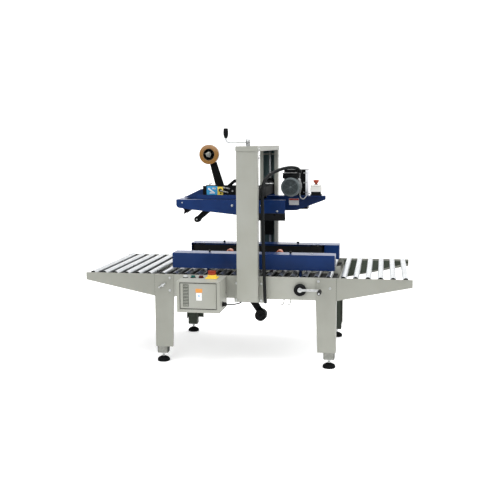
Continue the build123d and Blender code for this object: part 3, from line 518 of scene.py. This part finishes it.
make("inner_leg_tubes", tubes, dull_zinc, "inner_legs", "leg_steel", replaces="inner_legs")
make("levelling_stems", stems, zinc_plate, "inner_legs")
make("rubber_feet", pads, foot_rubber, "inner_legs", "belt_rubber", smooth=50)

# ---- Bolts on the frame --------------------------
# Zinc-plated hexagon bolts and washers through the rails, legs and column flanges, a
# wing bolt that clamps the near infeed leg, and two open spring hooks under the rail.


def close_box(bm, corners):
    """Six faces on eight corners, which run first by x, then by y, then by z."""
    for f in ((0, 2, 3, 1), (4, 5, 7, 6), (0, 1, 5, 4), (2, 6, 7, 3), (0, 4, 6, 2),
              (1, 3, 7, 5)):
        bm.faces.new([corners[i] for i in f])


def bar(bm, low, high):
    """A straight bar between two opposite corners, in millimetres from the centre line."""
    a, b = at(*low), at(*high)
    close_box(bm, [bm.verts.new((p[0], q[1], r[2])) for r in (a, b) for q in (a, b)
                   for p in (a, b)])


def blocks(name, corners, material, body, slot=None, **look):
    """A named piece made of straight bars."""
    bm = bmesh.new()
    for low, high in corners:
        bar(bm, low, high)
    return make(name, bm, material, body, slot, **look)


def plate(bm, outline, near_y, far_y):
    """A flat plate with this (x, z) outline between two distances along y."""
    front, back = ([bm.verts.new(at(x, y, z)) for x, z in outline]
                   for y in (near_y, far_y))
    bm.faces.new(front)
    bm.faces.new(back[::-1])
    for k, corner in enumerate(front):
        bm.faces.new((front[k - 1], corner, back[k], back[k - 1]))


bolts = bmesh.new()
for way in (-1, 1):
    spots = [(-475, 548, 429), (-475, 467, 429), (466, 549, 429), (537, 507, 429)]
    spots += [(x, z, 430) for x in (-45, 111) for z in (420, 525)]
    if way == 1:
        spots.append((-524, 500, 429))
    for x, z, face in spots:
        turned(bolts, [(0, 0), (8, 0), (8, 1.2), (0, 1.2)], at(x, way * face, z),
               (0, way, 0), 24)
        hex_head(bolts, at(x, way * (face + 1.2), z), (0, way, 0), 11, 4.5)
blocks("joint_seals", [((end * 574.9, way * 426, 430), (end * 576.3, way * 426.35, 569))
                       for end in (-1, 1) for way in (-1, 1)], black_nylon, "root")
make("frame_bolts", bolts, zinc_plate, "root", replaces="frame_fasteners")
wing = bmesh.new()
turned(wing, [(0, 0), (10, 0), (10, 1.5), (7.5, 2), (7, 11), (5, 13), (0, 13)],
       at(-524, -429, 500), NEAR, 24)
for tip in (at(-541, -440, 489), at(-507, -440, 512)):
    rod(wing, at(-524, -437, 500), tip, 0.0045, 12)
    turned(wing, [(0, -6), (5, -5.5), (6.5, -2), (6.5, 2), (5, 5.5), (0, 6)], tip, FAR, 16)
make("wing_bolt", wing, zinc_plate, "root", smooth=60)
for i, x in enumerate((250, 291)):
    bends = ((3, 437), (3, 424), (2, 412), (-1, 402), (-8, 394), (-13, 392), (-16, 397))
    lead(f"spring_hook_{i + 1}", [at(x + u, -416, z) for u, z in bends], 0.0028, dull_zinc,
         "root")

# ---- Columns and bridge --------------------------
# Two lipped channels in grey powder coat stand on flange plates bolted to the rails.
# A folded cap joins their tops and covers the chain between the lift screws.
dress(grey_coat, "column_near", "column_far", "bridge_cap", fold=1.0)
cap_bolts = bmesh.new()
for y in (-424, 424, -470, 470):
    for x, z, end in ((101, 1354, 1), (98, 1300, 1), (-35, 1354, -1), (-32, 1300, -1)):
        hex_head(cap_bolts, at(x, y, z), (end, 0, 0), 10, 4)
make("column_top_bolts", cap_bolts, zinc_plate, "root")

# ---- Lift screws and top crank -------------------
# Ground and threaded steel screws, one in each column. The near one goes up through the
# cap to a crank with a bent round arm, a flared hub and a waisted black grip.
screw_steel, shader = new_material("machined_screw_steel", {"Metallic": 1.0,
                                                            "Roughness": 0.3})
where = add(screw_steel, "ShaderNodeTexCoord").outputs["Object"]
turns = add(screw_steel, "ShaderNodeTexWave", {"Vector": where, "Scale": 70.0,
                                               "Distortion": 0.0},
            wave_type="BANDS", bands_direction="Z", wave_profile="TRI")
two_tones(screw_steel, shader, turns.outputs["Fac"], "8d9093", "d6d8d9", 0.2, 0.8)
grain(screw_steel, shader, turns.outputs["Fac"], 0.8)
dress(screw_steel, "lift_screw_far", "lift_screw_near")
SCREW_X, SCREW_Y = 38, 458.5
collar = bmesh.new()
turned(collar, [(0, 0), (10, 0), (12, 1.5), (12.5, 10), (14.5, 16), (15, 26), (13, 36),
                (10, 39), (5, 40), (0, 40)], at(SCREW_X, -SCREW_Y, 1374), UP, 32)
rod(collar, at(SCREW_X, -SCREW_Y, 1396), at(SCREW_X - 110, -SCREW_Y, 1396), 0.0052, 16)
make("crank_collar", collar, zinc_plate, "lift_screw_near", smooth=45)


def handle_plastic(name, first, second, roughness, shine=0.3):
    """Moulded ABS: fine spark texture, drawn at 3 mm so that it shows."""
    return mottled(name, first, second, 3, {
        "Roughness": roughness, "IOR": 1.53, "Specular IOR Level": shine}, 0.08)


black_abs = handle_plastic("moulded_black_abs", "07090a", "0f1112", 0.38, 0.12)
lathe("top_crank_grip", [(5, 0), (8, 0.4), (9.5, 3), (12, 10), (14.4, 20),
    (15.2, 30), (15, 40), (14, 50), (13.2, 56), (12, 59), (9, 60), (5, 60)],
    at(-98, -SCREW_Y, 1420), UP, black_abs, "lift_crank_grip", segments=32, smooth=60,
    replaces="lift_crank_grip")

# ---- Head frame ----------------------------------
# Navy powder-coated plates hang on a cross beam between the columns. Their lower edges
# have black skids that hold the carton down. The beam's ends run on the lift screws.
navy_coat = coated_steel("navy_powder_coat", "0a2856", "0f3066", 0.34, 0.25)
dress(navy_coat, "head_plate_near", "head_plate_far", fold=1.0)

# Black-coated sheets below the rollers of the bed and of the infeed table: painted shade in
# the gaps.
black_coat = coated_steel("black_powder_coat", "08090a", "101213", 0.4, 0.0, shine=0.08)
trays = [((x0, way * 60, 536), (x1, way * 420, 538)) for way in (-1, 1)
         for x0, x1 in ((-565, -278), (-247, 322), (353, 565))]
blocks("painted_shade_trays_below_rollers", trays + [((-1025, -420, 533), (-582, 420, 535))],
       black_coat, "root")
# Dark sheets in matte colours on inner faces: painted shade inside the legs and the table
# rails (grey-green) and inside the columns (blue-grey).
painted_shade_primer = coated_steel("grey_green_painted_shade", "353b33", "3d443a", 0.6, 0.0)
liners = bmesh.new()
for end in (-1, 1):
    for way in (-1, 1):
        bar(liners, (end * 465, way * 424.4, 102), (end * 498, way * 425.8, 424))
        bar(liners, (end * 571, way * 366, 102), (end * 571.9, way * 424, 424))
        bar(liners, (end * 470, way * 415, 423), (end * 570, way * 366, 425.8))
        corners = ((580, 434), (580, 555), (1028, 555), (1028, 541))
        plate(liners, [(end * x, z) for x, z in corners], way * 421, way * 422.6)
make("painted_shade_inner_faces", liners, painted_shade_primer, "root", "black_enamel")
# Blue-grey sheets on the inner walls of the columns: painted shade.
column_painted_shade = coated_steel("blue_grey_painted_shade", "5f7476", "687d7f", 0.6, 0.0)
blocks("painted_shade_column_faces", [
    ((-28.8, 434, 455), (-28, 480, 1335)), ((94, 434, 455), (94.8, 480, 1335)),
    ((-26, -480.5, 455), (92, -482.8, 1335)), ((-26, 480.5, 455), (92, 482.8, 1335))],
    column_painted_shade, "root", "black_enamel")
# Grey-green sheets on the inward face and both ends of each inner leg tube: painted shade.
liners = bmesh.new()
for x in (-LEG_X, LEG_X):
    for way in (-1, 1):
        bar(liners, (x - 31, way * 372.4, 60), (x + 31, way * 373.4, LEG_TOP))
        bar(liners, (x + 33.1, way * 375, 60), (x + 33.9, way * 424, LEG_TOP))
        bar(liners, (x - 33.9, way * 375, 60), (x - 33.1, way * 424, LEG_TOP))
make("painted_shade_leg_faces", liners, painted_shade_primer, "inner_legs", "black_enamel")
blocks("near_plate_upstand", [((-372, -100.4, 1024), (-60, -98.8, 1052))], navy_coat, "head",
    "blue_enamel", bevel=0.4)
blocks("guide_brackets", [((-10, way * 418, 895), (77, way * 429, 1025))
                          for way in (-1, 1)], navy_coat, "head", "blue_enamel", bevel=1)
rough_black = coated_steel("rough_black_coat", "070808", "0f1011", 0.75, 0.0, shine=0.08)
dress(rough_black, "head_beam", fold=1.0)

# UHMW polyethylene skid: black, waxy, scratched along the conveyor.
skid_plastic, shader = new_material("black_polyethylene", {
    "Roughness": 0.4, "IOR": 1.51, "Specular IOR Level": 0.2})
scratches = drawn_lines(skid_plastic, (12, 300, 300))
two_tones(skid_plastic, shader, scratches, "0a0b0c", "1a1c1e")
grain(skid_plastic, shader, scratches, 0.1)
blocks("hold_down_skids", [((-30.6, -114, 886.6), (219.6, -97.4, 935.5)),
    ((-30.6, 97.4, 886.6), (190.6, 114, 935.5))], skid_plastic, "head", "black_plastic",
    bevel=2.5)
head_bolts = bmesh.new()
for x, z, r in ((-132, 983, 8), (167, 948, 7), (-470, 1000, 5), (-60, 1000, 5), (60, 985, 5)):
    for way in (-1, 1):
        turned(head_bolts, [(0, 0), (r, 0), (r, 1), (r * 0.8, 3), (r * 0.4, 4.2), (0, 4.5)],
               at(x, way * 113, z), (0, way, 0), 24)
make("head_plate_bolts", head_bolts, zinc_plate, "head", smooth=60)
nuts, nut_faces = bmesh.new(), bmesh.new()
for y in (-SCREW_Y, SCREW_Y):
    turned(nuts, [(11, 0), (22, 0), (24, 2), (24, 8), (22, 12), (18, 14), (11, 14)],
           at(SCREW_X, y, 1127.5), UP, 40)
    turned(nut_faces, [(10.5, 0), (17, 0), (17, 3), (15, 4), (10.5, 4)],
           at(SCREW_X, y, 1141.5), UP, 6)
domes, dome_rings = bmesh.new(), bmesh.new()
for y in (-398, 398):
    turned(domes, [(0, 0), (30, 0), (30, 8), (27, 14), (20, 20), (11, 24), (0, 25.5)],
           at(SCREW_X, y, 1101), UP, 40)
    turned(dome_rings, [(30.2, 0), (34, 0), (34, 5), (32, 7), (30.2, 7), (30.2, 0)],
           at(SCREW_X, y, 1100.5), UP, 40)
make("bearing_caps", domes, black_abs, "head", smooth=50)
make("bearing_cap_rings", dome_rings, zinc_plate, "head", smooth=50)
make("screw_nut_flanges", nuts, black_abs, "head", smooth=50)
make("screw_nuts", nut_faces, zinc_plate, "head")


def vinyl(name, first, second):
    """Printed vinyl: a generic block of colour, thin satin film."""
    return mottled(name, first, second, 5, {"Roughness": 0.35, "IOR": 1.5})


white_vinyl = vinyl("white_vinyl", "dfe0df", "ecedec")
red_vinyl = vinyl("red_vinyl", "b23a34", "bd463f")
blocks("drive_notice", [((218, 109.5, 973), (286, 110.1, 1018))], white_vinyl, "head",
    "grey_plastic", bevel=0.1)
blocks("drive_notice_band", [((219.5, 109.2, 1005), (284.5, 109.6, 1016.5))], red_vinyl,
    "head", "red_plastic", bevel=0.1)

# ---- Head motor ----------------------------------
# Three-phase gear motor lying across the head: die-cast finned body, pressed steel fan
# cover with a ring grille towards the operator, cast gearbox and a black terminal box.
cast_alloy = mottled("die_cast_aluminium", "8f9294", "b6b9ba", 4, {
    "Metallic": 1.0, "Roughness": 0.46}, 0.25)
MOTOR = (253, 1106)
centre = at(MOTOR[0], 0, MOTOR[1])
body = bmesh.new()
turned(body, [(0, 0), (46, 0), (57, 3), (57, 8), (55, 9), (55, 129), (57, 130),
              (57.5, 137), (48, 138), (0, 138)], at(MOTOR[0], -78, MOTOR[1]), FAR, 48)
for k in range(40):
    a = math.tau * k / 40
    out = Vector((math.cos(a), 0, math.sin(a)))
    beside = Vector((-math.sin(a), 0, math.cos(a)))
    fin = []
    for y in (-68, 29):
        for r, half in ((0.053, 0.0013), (0.0636, 0.0009)):
            for way in (-1, 1):
                point = centre + out * r + beside * half * way
                point.y = at(0, y, 0).y
                fin.append(body.verts.new(point))
    close_box(body, fin)
make("motor_body", body, cast_alloy, "head", "motor_casting", smooth=40,
    replaces="head_motor")
blocks("gearbox_casting", [((204, 60, 1057), (302, 100.5, 1155))], cast_alloy, "head",
    "motor_casting", bevel=9)
gear_bolts = bmesh.new()
for u, v in ((-38, -38), (-38, 38), (38, -38), (38, 38)):
    hex_head(gear_bolts, at(MOTOR[0] + u, 60.5, MOTOR[1] + v), NEAR, 9, 5)
make("gearbox_bolts", gear_bolts, zinc_plate, "head")


def spokes(bm, centre, y, inner, outer, turns, radius, segments):
    """Round spokes between two radii of a wheel that faces along y, at these angles."""
    for a in map(math.radians, turns):
        rod(bm, *[at(centre[0] + r * math.cos(a), y, centre[1] + r * math.sin(a))
                  for r in (inner, outer)], radius, segments)


# Pressed steel in dark grey stove enamel, satin.
dark_enamel = coated_steel("dark_grey_stove_enamel", "454d4f", "51595b", 0.4, 0.1)
fan_face = at(MOTOR[0], -118, MOTOR[1])
cover = bmesh.new()
turned(cover, [(57, 40), (61, 40), (62, 38), (62, 10), (60, 4), (56, 1), (52, 0),
               (50, 1.5), (50, 6), (57, 12), (57, 40)], fan_face, FAR, 56)
for r in (9, 17, 25, 33, 41, 49):
    turned(cover, [(r - 2, 1.5), (r - 1.6, 0.2), (r + 1.6, 0.2), (r + 2, 1.5),
                   (r + 1.6, 3), (r - 1.6, 3), (r - 2, 1.5)], fan_face, FAR, 56)
spokes(cover, MOTOR, -116, 6, 52, range(30, 360, 60), 0.0018, 8)
turned(cover, [(0, 0), (7, 0.2), (8.5, 1.5), (8.5, 4), (0, 4)], fan_face, FAR, 32)
make("fan_cover", cover, dark_enamel, "head", "black_enamel", smooth=40)
lathe("fan_shadow_plate", [(0, 0), (54, 0), (54, 1.5), (0, 1.5)],
    at(MOTOR[0], -104, MOTOR[1]), FAR, black_abs, "head", segments=48)
blocks("terminal_box", [((199, -83, 1160.5), (307, 23, 1185)),
    ((198, -84, 1186), (308, 24, 1196))], black_abs, "head", bevel=3)
screws = bmesh.new()
for x in (206, 282):
    for y in (-76, 16):
        turned(screws, [(0, 0), (3.6, 0), (3.4, 1.6), (0, 2)], at(x, y, 1196), UP, 16)
make("terminal_box_screws", screws, zinc_plate, "head")
lathe("conduit_gland", [(10.8, -1), (16, -1), (16, 6), (14.5, 7), (14.5, 14), (12.5, 19),
    (10.8, 20)], conduit_route[0], UP, black_abs, "head", segments=28, smooth=50)

# ---- Drive cover ---------------------------------
# Black sheet cover over the chain from the gearbox down to the pull roller, with screws along
# its rim. The plate on its end and the strip on its front edge are white as a painted
# highlight.
dress(black_coat, "drive_cover", fold=1.2)
painted_highlight_white = coated_steel("white_painted_highlight", "e6e8ec", "eff1f4", 0.4, 0.1)
blocks("drive_cover_end_plate", [((345.2, 113.5, 1040.5), (347, 204, 1210)),
    ((331, 99.4, 1040.5), (347, 101, 1210))], painted_highlight_white, "head", "zinc_steel", bevel=0.4)
cover_screws = bmesh.new()
for z in (1060, 1125, 1190):
    for x in (320, 338):
        turned(cover_screws, [(0, 0), (4.5, 0), (4.2, 2), (0, 2.8)], at(x, 101, z), NEAR, 16)
make("drive_cover_screws", cover_screws, zinc_plate, "head", smooth=60)
# Vulcanised drive rubber on the pull roller.
dress(foot_rubber, "top_drive_roller")

# ---- Emergency stop ------------------------------
# Light grey moulded enclosure on a black foot with four lugs, and a red mushroom button.
grey_abs = handle_plastic("moulded_light_grey_abs", "cfcfca", "dadad6", 0.45)
foot = bmesh.new()
bar(foot, (372, 52, 1040), (436, 106, 1066))
for x in (374, 434):
    for y in (56, 102):
        turned(foot, [(0, 0), (7, 0), (7, 9), (5.5, 11), (0, 11)], at(x, y, 1040), UP, 20)
make("stop_foot", foot, black_abs, "head", bevel=2, replaces="stop_box")
blocks("stop_case", [((367, 49.5, 1066.5), (441, 108.5, 1098)),
    ((368, 50.5, 1099), (440, 107.5, 1112))], grey_abs, "head", "grey_plastic", bevel=3)
stop_seat = at(404, 79, 1112)
lathe("stop_collar", [(9.6, -1), (15, -1), (15, 2.5), (13.5, 3.5), (9.6, 3.5)], stop_seat,
    UP, zinc_plate, "head", segments=32, smooth=50)
red_abs = handle_plastic("moulded_red_abs", "93361c", "a03f24", 0.4)
lathe("stop_mushroom", [(0, -20), (8.8, -20), (8.8, 11), (11.5, 12.2), (13.8, 14),
    (15.5, 18), (19, 24), (20, 27), (19.5, 30), (16, 32), (9, 33.4), (0, 33.8)], stop_seat,
    UP, red_abs, "stop_button", "red_plastic", segments=40, smooth=50, replaces="stop_button")

# ---- Tape cartridges -----------------------------
# One taping unit in the head and one upside down in the bed: black-coated side plates,
# two sprung arms with rollers that press the tape on, and an arm that holds the roll.
dress(black_coat, "upper_cartridge_frame", "lower_cartridge_frame", "upper_front_arm",
      "upper_rear_arm", "lower_front_arm", "lower_rear_arm", fold=0.8)
# Cast polyurethane tyres: translucent orange, slightly soft and glossy.
tyre_orange = mottled("cast_polyurethane", "d87a58", "e28a66", 12, {
    "Roughness": 0.35, "IOR": 1.5, "Subsurface Weight": 0.15, "Subsurface Scale": 0.004})
tyre = [(19.9, -26.6), (20.2, -26), (20.8, -20), (21, 0), (20.8, 20), (20.2, 26),
        (19.9, 26.6)]
for body_name, x, z in (("upper_front_arm", -391, 881), ("upper_rear_arm", -51, 881),
                        ("lower_front_arm", -170, 660), ("lower_rear_arm", 170, 660)):
    rubber = tyre_orange if body_name.startswith("lower") else foot_rubber
    lathe(f"{body_name}_tyre", [(5, -27), *tyre, (5, 27)], at(x, 0, z), FAR, rubber,
          body_name, "roller_rubber", segments=36, smooth=50)
    pins = bmesh.new()
    for way in (-1, 1):
        hex_head(pins, at(x, way * 34, z), (0, way, 0), 10, 4)
    make(f"{body_name}_axle_nuts", pins, zinc_plate, body_name)
rods = bmesh.new()
for x, z, r in ((-300, 1120, 5), (-262, 1094, 9), (-196, 1096, 7), (-140, 1075, 9),
                (-96, 1060, 5), (-196, 1011, 6), (-246, 1011, 6)):
    turned(rods, [(0, -52), (r * 0.6, -52), (r * 0.6, -45), (r, -44), (r, 44),
                  (r * 0.6, 45), (r * 0.6, 52), (0, 52)], at(x, 0, z), FAR, 24)
make("tape_guide_rollers", rods, zinc_plate, "head", smooth=45)
lever = bmesh.new()
for way in (-1, 1):
    rod(lever, at(-196, way * 30, 1088), at(-128, way * 30, 1146), 0.008, 12)
turned(lever, [(0, -36), (11, -35), (12, -30), (12, 30), (11, 35), (0, 36)],
       at(-128, 0, 1140), FAR, 28)
bar(lever, (-214, -44, 1040), (-124, 44, 1092))
make("tape_brake_lever", lever, black_coat, "head", smooth=50)


def coil(name, start, end, radius, turns, wire, body):
    """A tension spring of close coils."""
    axis = (end - start).normalized()
    across = axis.orthogonal().normalized()
    beside = axis.cross(across)
    per_turn = 14
    path = [start.lerp(end, k / (turns * per_turn))
            + radius * (across * math.cos(math.tau * k / per_turn)
                        + beside * math.sin(math.tau * k / per_turn))
            for k in range(turns * per_turn + 1)]
    bm = bmesh.new()
    tube_along(bm, path, (wire,), 8)
    make(name, bm, zinc_plate, body, smooth=60)


coil("upper_arm_spring", at(-222, -56, 1078), at(-168, -56, 1064), 0.005, 14, 0.0012, "head")
coil("upper_brake_spring", at(-205, -52, 1100), at(-160, -52, 1090), 0.004, 12, 0.001, "head")
coil("lower_arm_spring", at(-60, -56, 470), at(60, -56, 470), 0.006, 24, 0.0014, "root")
blue_vinyl = vinyl("light_blue_vinyl", "2f8fc4", "3a9acd")
yellow_vinyl = vinyl("yellow_vinyl", "e0c548", "e8cf58")
blocks("threading_guide", [((-316, -49.2, 1050), (-243, -48.1, 1107))], blue_vinyl, "head",
    "blue_enamel", bevel=0.2)
blocks("tape_path_patch", [((-242.6, -49.2, 1048), (-204, -48.1, 1103))], yellow_vinyl,
    "head", "tape_film", bevel=0.2)
SIGN_Y = -49.4
signs = bmesh.new()
for x0, z0, x1, z1, w in ((-305, 1092, -282, 1074, 5), (-282, 1074, -262, 1060, 5),
                          (-296, 1062, -268, 1062, 3.5), (-276, 1094, -256, 1088, 4)):
    rod(signs, at(x0, SIGN_Y, z0), at(x1, SIGN_Y, z1), w * 0.00012, 8)
    run = math.hypot(x1 - x0, z1 - z0)
    u, v = (x1 - x0) / run * w, (z1 - z0) / run * w
    plate(signs, [(x0 - v, z0 + u), (x1 - v, z1 + u), (x1 + v, z1 - u), (x0 + v, z0 - u)],
          SIGN_Y, SIGN_Y + 0.3)
make("threading_guide_arrows", signs, white_vinyl, "head", "grey_plastic")
dot = bmesh.new()
turned(dot, [(9, 0), (12, 0), (12, 0.4), (9, 0.4)], at(-223, -49.2, 1080), NEAR, 28)
turned(dot, [(0, 0), (5, 0), (5, 0.4), (0, 0.4)], at(-221, -49.2, 1060), NEAR, 24)
make("tape_path_dots", dot, black_abs, "head")
nose = bmesh.new()
outline = [(-486, 958), (-458, 962), (-424, 958), (-440, 941), (-460, 927), (-474, 918),
           (-480, 921), (-474, 944)]
for near_y in (-40, 34):
    plate(nose, outline, near_y, near_y + 6)
bar(nose, (-478, -38, 944), (-462, 38, 952))
make("nose_guide", nose, black_coat, "head", bevel=1)

# ---- Tape roll and hubs --------------------------
# Amber packing tape wound on a cardboard core. Each roll pushes onto a black moulded hub
# that turns on a steel pin with a friction nut.
film, shader = new_material("amber_packing_film", {"Roughness": 0.22, "IOR": 1.49,
                                                   "Coat Weight": 0.4})
where = add(film, "ShaderNodeTexCoord").outputs["Object"]
centre_move = add(film, "ShaderNodeMapping", {"Vector": where,
                                              "Location": (0.305, -0.077, -1.316)})
windings = add(film, "ShaderNodeTexWave", {"Vector": centre_move.outputs["Vector"],
                                           "Scale": 120.0, "Distortion": 0.6},
               wave_type="RINGS", rings_direction="Y")
two_tones(film, shader, windings.outputs["Fac"], "7a5522", "966a32", 0.2, 0.8)
grain(film, shader, windings.outputs["Fac"], 0.1)
# Pressed grey-brown board.
board = mottled("cardboard_core", "8c6b45", "9c7a52", 3, {"Roughness": 0.85})
HUB, LOWER_HUB = (-305, 1316), (40, 230)
roll_centre = at(HUB[0], 0, HUB[1])
lathe("tape_windings", [(41.5, -23.6), (63, -24), (64.6, -23.4), (65, -22.6),
    (65, 22.6), (64.6, 23.4), (63, 24), (41.5, 23.6), (41.5, -23.6)], roll_centre, FAR, film,
    "upper_tape_hub", "tape_film", segments=72, smooth=50, replaces="tape_roll")
lathe("tape_core", [(38.3, -24), (41.4, -24), (41.4, 24), (38.3, 24), (38.3, -24)],
    roll_centre, FAR, board, "upper_tape_hub", "tape_film", segments=64)
for place, hub in (("upper", HUB), ("lower", LOWER_HUB)):
    drum = bmesh.new()
    turned(drum, [(8, -27), (14, -27), (15, -22), (31, -21), (34, -26.5), (37, -27),
                  (38, -26), (38, 26), (41, 27), (41, 31), (8, 31)],
           at(hub[0], 0, hub[1]), FAR, 56)
    spokes(drum, hub, -23, 13, 33, range(18, 360, 72), 0.0035, 10)
    make(f"{place}_hub_drum", drum, black_abs, f"{place}_tape_hub", smooth=45,
         replaces=f"{place}_tape_hub")
centre_nut = bmesh.new()
turned(centre_nut, [(0, 0), (17, 0), (18, 1.5), (16, 4), (9, 6), (0, 7)],
       at(HUB[0], -28.5, HUB[1]), NEAR, 32)
spokes(centre_nut, HUB, -33, 0, 20, range(50, 360, 120), 0.004, 10)
make("friction_nut", centre_nut, dull_zinc, "upper_tape_hub", "zinc_steel", smooth=50)
lathe("lower_friction_nut", [(0, 0), (9, 0), (9, 2), (6, 5), (0, 6)],
    at(LOWER_HUB[0], -28.5, LOWER_HUB[1]), NEAR, black_abs, "lower_tape_hub", segments=24,
    smooth=50)

# ---- Side drive belts ----------------------------
# Long navy covers over flat black rubber belts that grip the carton's sides. Turned
# knobs on top let a cover off, and posts below go down between the bed rollers.
dress(navy_coat, "near_belt_housing", "far_belt_housing", fold=1.2)
# Ribbed drive belt: black rubber, upright ribs drawn at 9 mm.
belt_rubber, shader = new_material("ribbed_belt_rubber", {
    "Roughness": 0.7, "IOR": 1.52, "Specular IOR Level": 0.2})
where = add(belt_rubber, "ShaderNodeTexCoord").outputs["Object"]
ribs = add(belt_rubber, "ShaderNodeTexWave", {"Vector": where, "Scale": 35.0},
           wave_type="BANDS", bands_direction="X")
two_tones(belt_rubber, shader, ribs.outputs["Fac"], "08090a", "181a1b", 0.3, 0.7)
grain(belt_rubber, shader, ribs.outputs["Fac"], 0.6)
dress(belt_rubber, "near_side_belt", "far_side_belt")
dress(zinc_plate, "near_drive_drum", "far_drive_drum")
for side_name, way, xs in (("near", -1, (-254, 272)), ("far", 1, (-260, 265))):
    knobs = bmesh.new()
    for x in xs:
        turned(knobs, [(0, 0), (8, 0), (8, 1.2), (4.5, 1.5), (4.5, 4), (8.5, 5), (9, 8),
                       (8.5, 12), (6, 13.5), (0, 14)], at(x, way * 250, 692), UP, 20)
    make(f"{side_name}_cover_knobs", knobs, black_abs, f"{side_name}_belt_unit", smooth=45)
    rims = bmesh.new()
    for x, end in ((-488.5, -1), (556.5, 1)):
        for z in (660, 620):
            turned(rims, [(0, -0.5), (5, -0.5), (5, 1.5), (0, 2.4)], at(x, way * 280, z),
                   (end, 0, 0), 16)
    make(f"{side_name}_cover_screws", rims, zinc_plate, f"{side_name}_belt_unit", smooth=60)

# ---- Width screw and side crank ------------------
# The side crank turns a long screw that draws both belt units in or out. A black cast
# disc with a polished hub covers the screw's end, and a flat arm carries the grip.
CRANK_X, GRIP_X, CRANK_Z = 354, 478, 495
threads = [(8 if k % 2 else 7.2, -440 + 4 * k) for k in range(214)]
lathe("width_screw_rod", [(0, -446), *threads, (8, 416), (0, 416)],
    at(CRANK_X, 0, CRANK_Z), FAR, zinc_plate, "width_screw", segments=20, smooth=60,
    replaces="width_screw")
crank_face = at(CRANK_X, -426, CRANK_Z)
lathe("crank_disc", [(0, 8), (34, 8), (38, 9), (38.5, 11), (38.5, 17), (37, 19), (33, 20),
    (28, 18.5), (20, 18), (17, 19), (0, 19)], crank_face, NEAR, black_abs, "width_screw",
    segments=56, smooth=40)
arm = bmesh.new()
turned(arm, [(0, 19), (14, 19), (15, 20.5), (15, 25), (13.5, 27), (0, 27.5)], crank_face,
       NEAR, 40)
outline = []
for cx, half, start in ((CRANK_X, 7.5, 90), (GRIP_X, 6.5, -90)):
    for turn in range(0, 181, 20):
        a = math.radians(start + turn)
        outline.append((cx + half * math.cos(a), CRANK_Z + half * math.sin(a)))
plate(arm, outline, -452, -446)
turned(arm, [(0, 24), (4.5, 24), (4.5, 121), (0, 122)], at(GRIP_X, -426, CRANK_Z),
       NEAR, 16)
turned(arm, [(0, 0), (7, 0), (7, 2), (4, 3), (0, 3)], at(GRIP_X, -547, CRANK_Z),
       NEAR, 6)
make("crank_arm", arm, zinc_plate, "width_screw", bevel=0.8, smooth=40)
lathe("side_crank_grip", [(5, 0), (9, 0.4), (10.5, 3), (12, 16), (13, 40),
    (13, 62), (12, 84), (10.5, 93), (8, 95.6), (5, 96)], at(GRIP_X, -453, CRANK_Z), NEAR,
    black_abs, "width_crank_grip", segments=32, smooth=50, replaces="width_crank_grip")

# ---- Control box ---------------------------------
# Grey coated sheet box with a hinged door: a louvred strip and a generic notice on the
# door, three lit push buttons and a red and yellow main switch on top.
dress(grey_coat, "control_box", "control_box_door", fold=1.0)
DOOR_Y = -640
seal = [((-354.5, -642, z), (-127.5, DOOR_Y, z + 3)) for z in (397.5, 556)]
seal += [((x, -642, 397.5), (x + 3, DOOR_Y, 559)) for x in (-354.5, -130.5)]
blocks("door_seal", seal, foot_rubber, "root", "belt_rubber")
blocks("door_louvres", [((-332, -642.4, z), (-301, -640.4, z + 4))
                        for z in range(416, 543, 9)], grey_coat, "control_box_door",
       "grey_enamel", bevel=0.8)
# The mesh behind the louvres is in the dark grey-green of painted shade, darkening the gaps
# between the slats.
blocks("louvre_mesh", [((-334, -640.7, 413), (-299, DOOR_Y, 549))], painted_shade_primer, "control_box_door",
    "zinc_steel", bevel=0.2)
orange_vinyl = vinyl("orange_vinyl", "cf8b42", "d8974f")
blocks("door_notice_band", [((-256, -640.9, 500), (-214, DOOR_Y, 524))], orange_vinyl,
    "control_box_door", "tape_film", bevel=0.1)
blocks("door_notice", [((-252, -640.9, 452), (-218, DOOR_Y, 498))], white_vinyl,
    "control_box_door", "grey_plastic", bevel=0.1)
lathe("door_notice_mark", [(0, 0), (7.5, 0), (7.5, 0.3), (0, 0.3)], at(-235, -640.9, 480),
    NEAR, blue_vinyl, "control_box_door", "blue_enamel", segments=3)
fittings = bmesh.new()
for x in (-350, -302, -251):
    turned(fittings, [(13.4, 0), (17, 0), (17, 2), (15.8, 4), (13.4, 4)],
           at(x, -512, 568), UP, 32)
make("button_bezels", fittings, black_abs, "root", smooth=45,
    replaces="control_panel_fittings")
yellow_abs = handle_plastic("moulded_yellow_abs", "e9c53c", "f0cf52", 0.4)
blocks("switch_plate", [((-218, -548, 568.1), (-146, -476, 574))], yellow_abs, "root",
    "tape_film", bevel=2)
lathe("switch_collar", [(0, 5), (28, 5), (28, 20), (26.5, 22), (0, 22)], at(-182, -512, 568),
    UP, yellow_abs, "root", "tape_film", segments=40, smooth=50)
dress(red_abs, "main_switch_knob", fold=1.5)
# Moulded polycarbonate lenses: clear colour, glossy.
for node_name, first, second in (("jog_button", "c9cdcc", "d8dbda"),
                                 ("start_button", "0d5248", "13645a"),
                                 ("stop_push_button", "4a1414", "5c1a18")):
    lens = handle_plastic(node_name + "_lens", first, second, 0.2)
    dress(lens, node_name, fold=1.2)
gland_seat = at(-108, -560, 417)
cable_gland = bmesh.new()
turned(cable_gland, [(0, 0), (17, 0), (17, 3), (0, 3)], gland_seat, (1, 0, 0), 24)
turned(cable_gland, [(4.2, 1), (15, 1), (15, 11), (12.5, 12), (14.5, 13), (14.5, 20),
                     (10, 25), (6, 28), (4.2, 28)], gland_seat, (1, 0, 0), 6)
make("cable_gland", cable_gland, black_abs, "root")
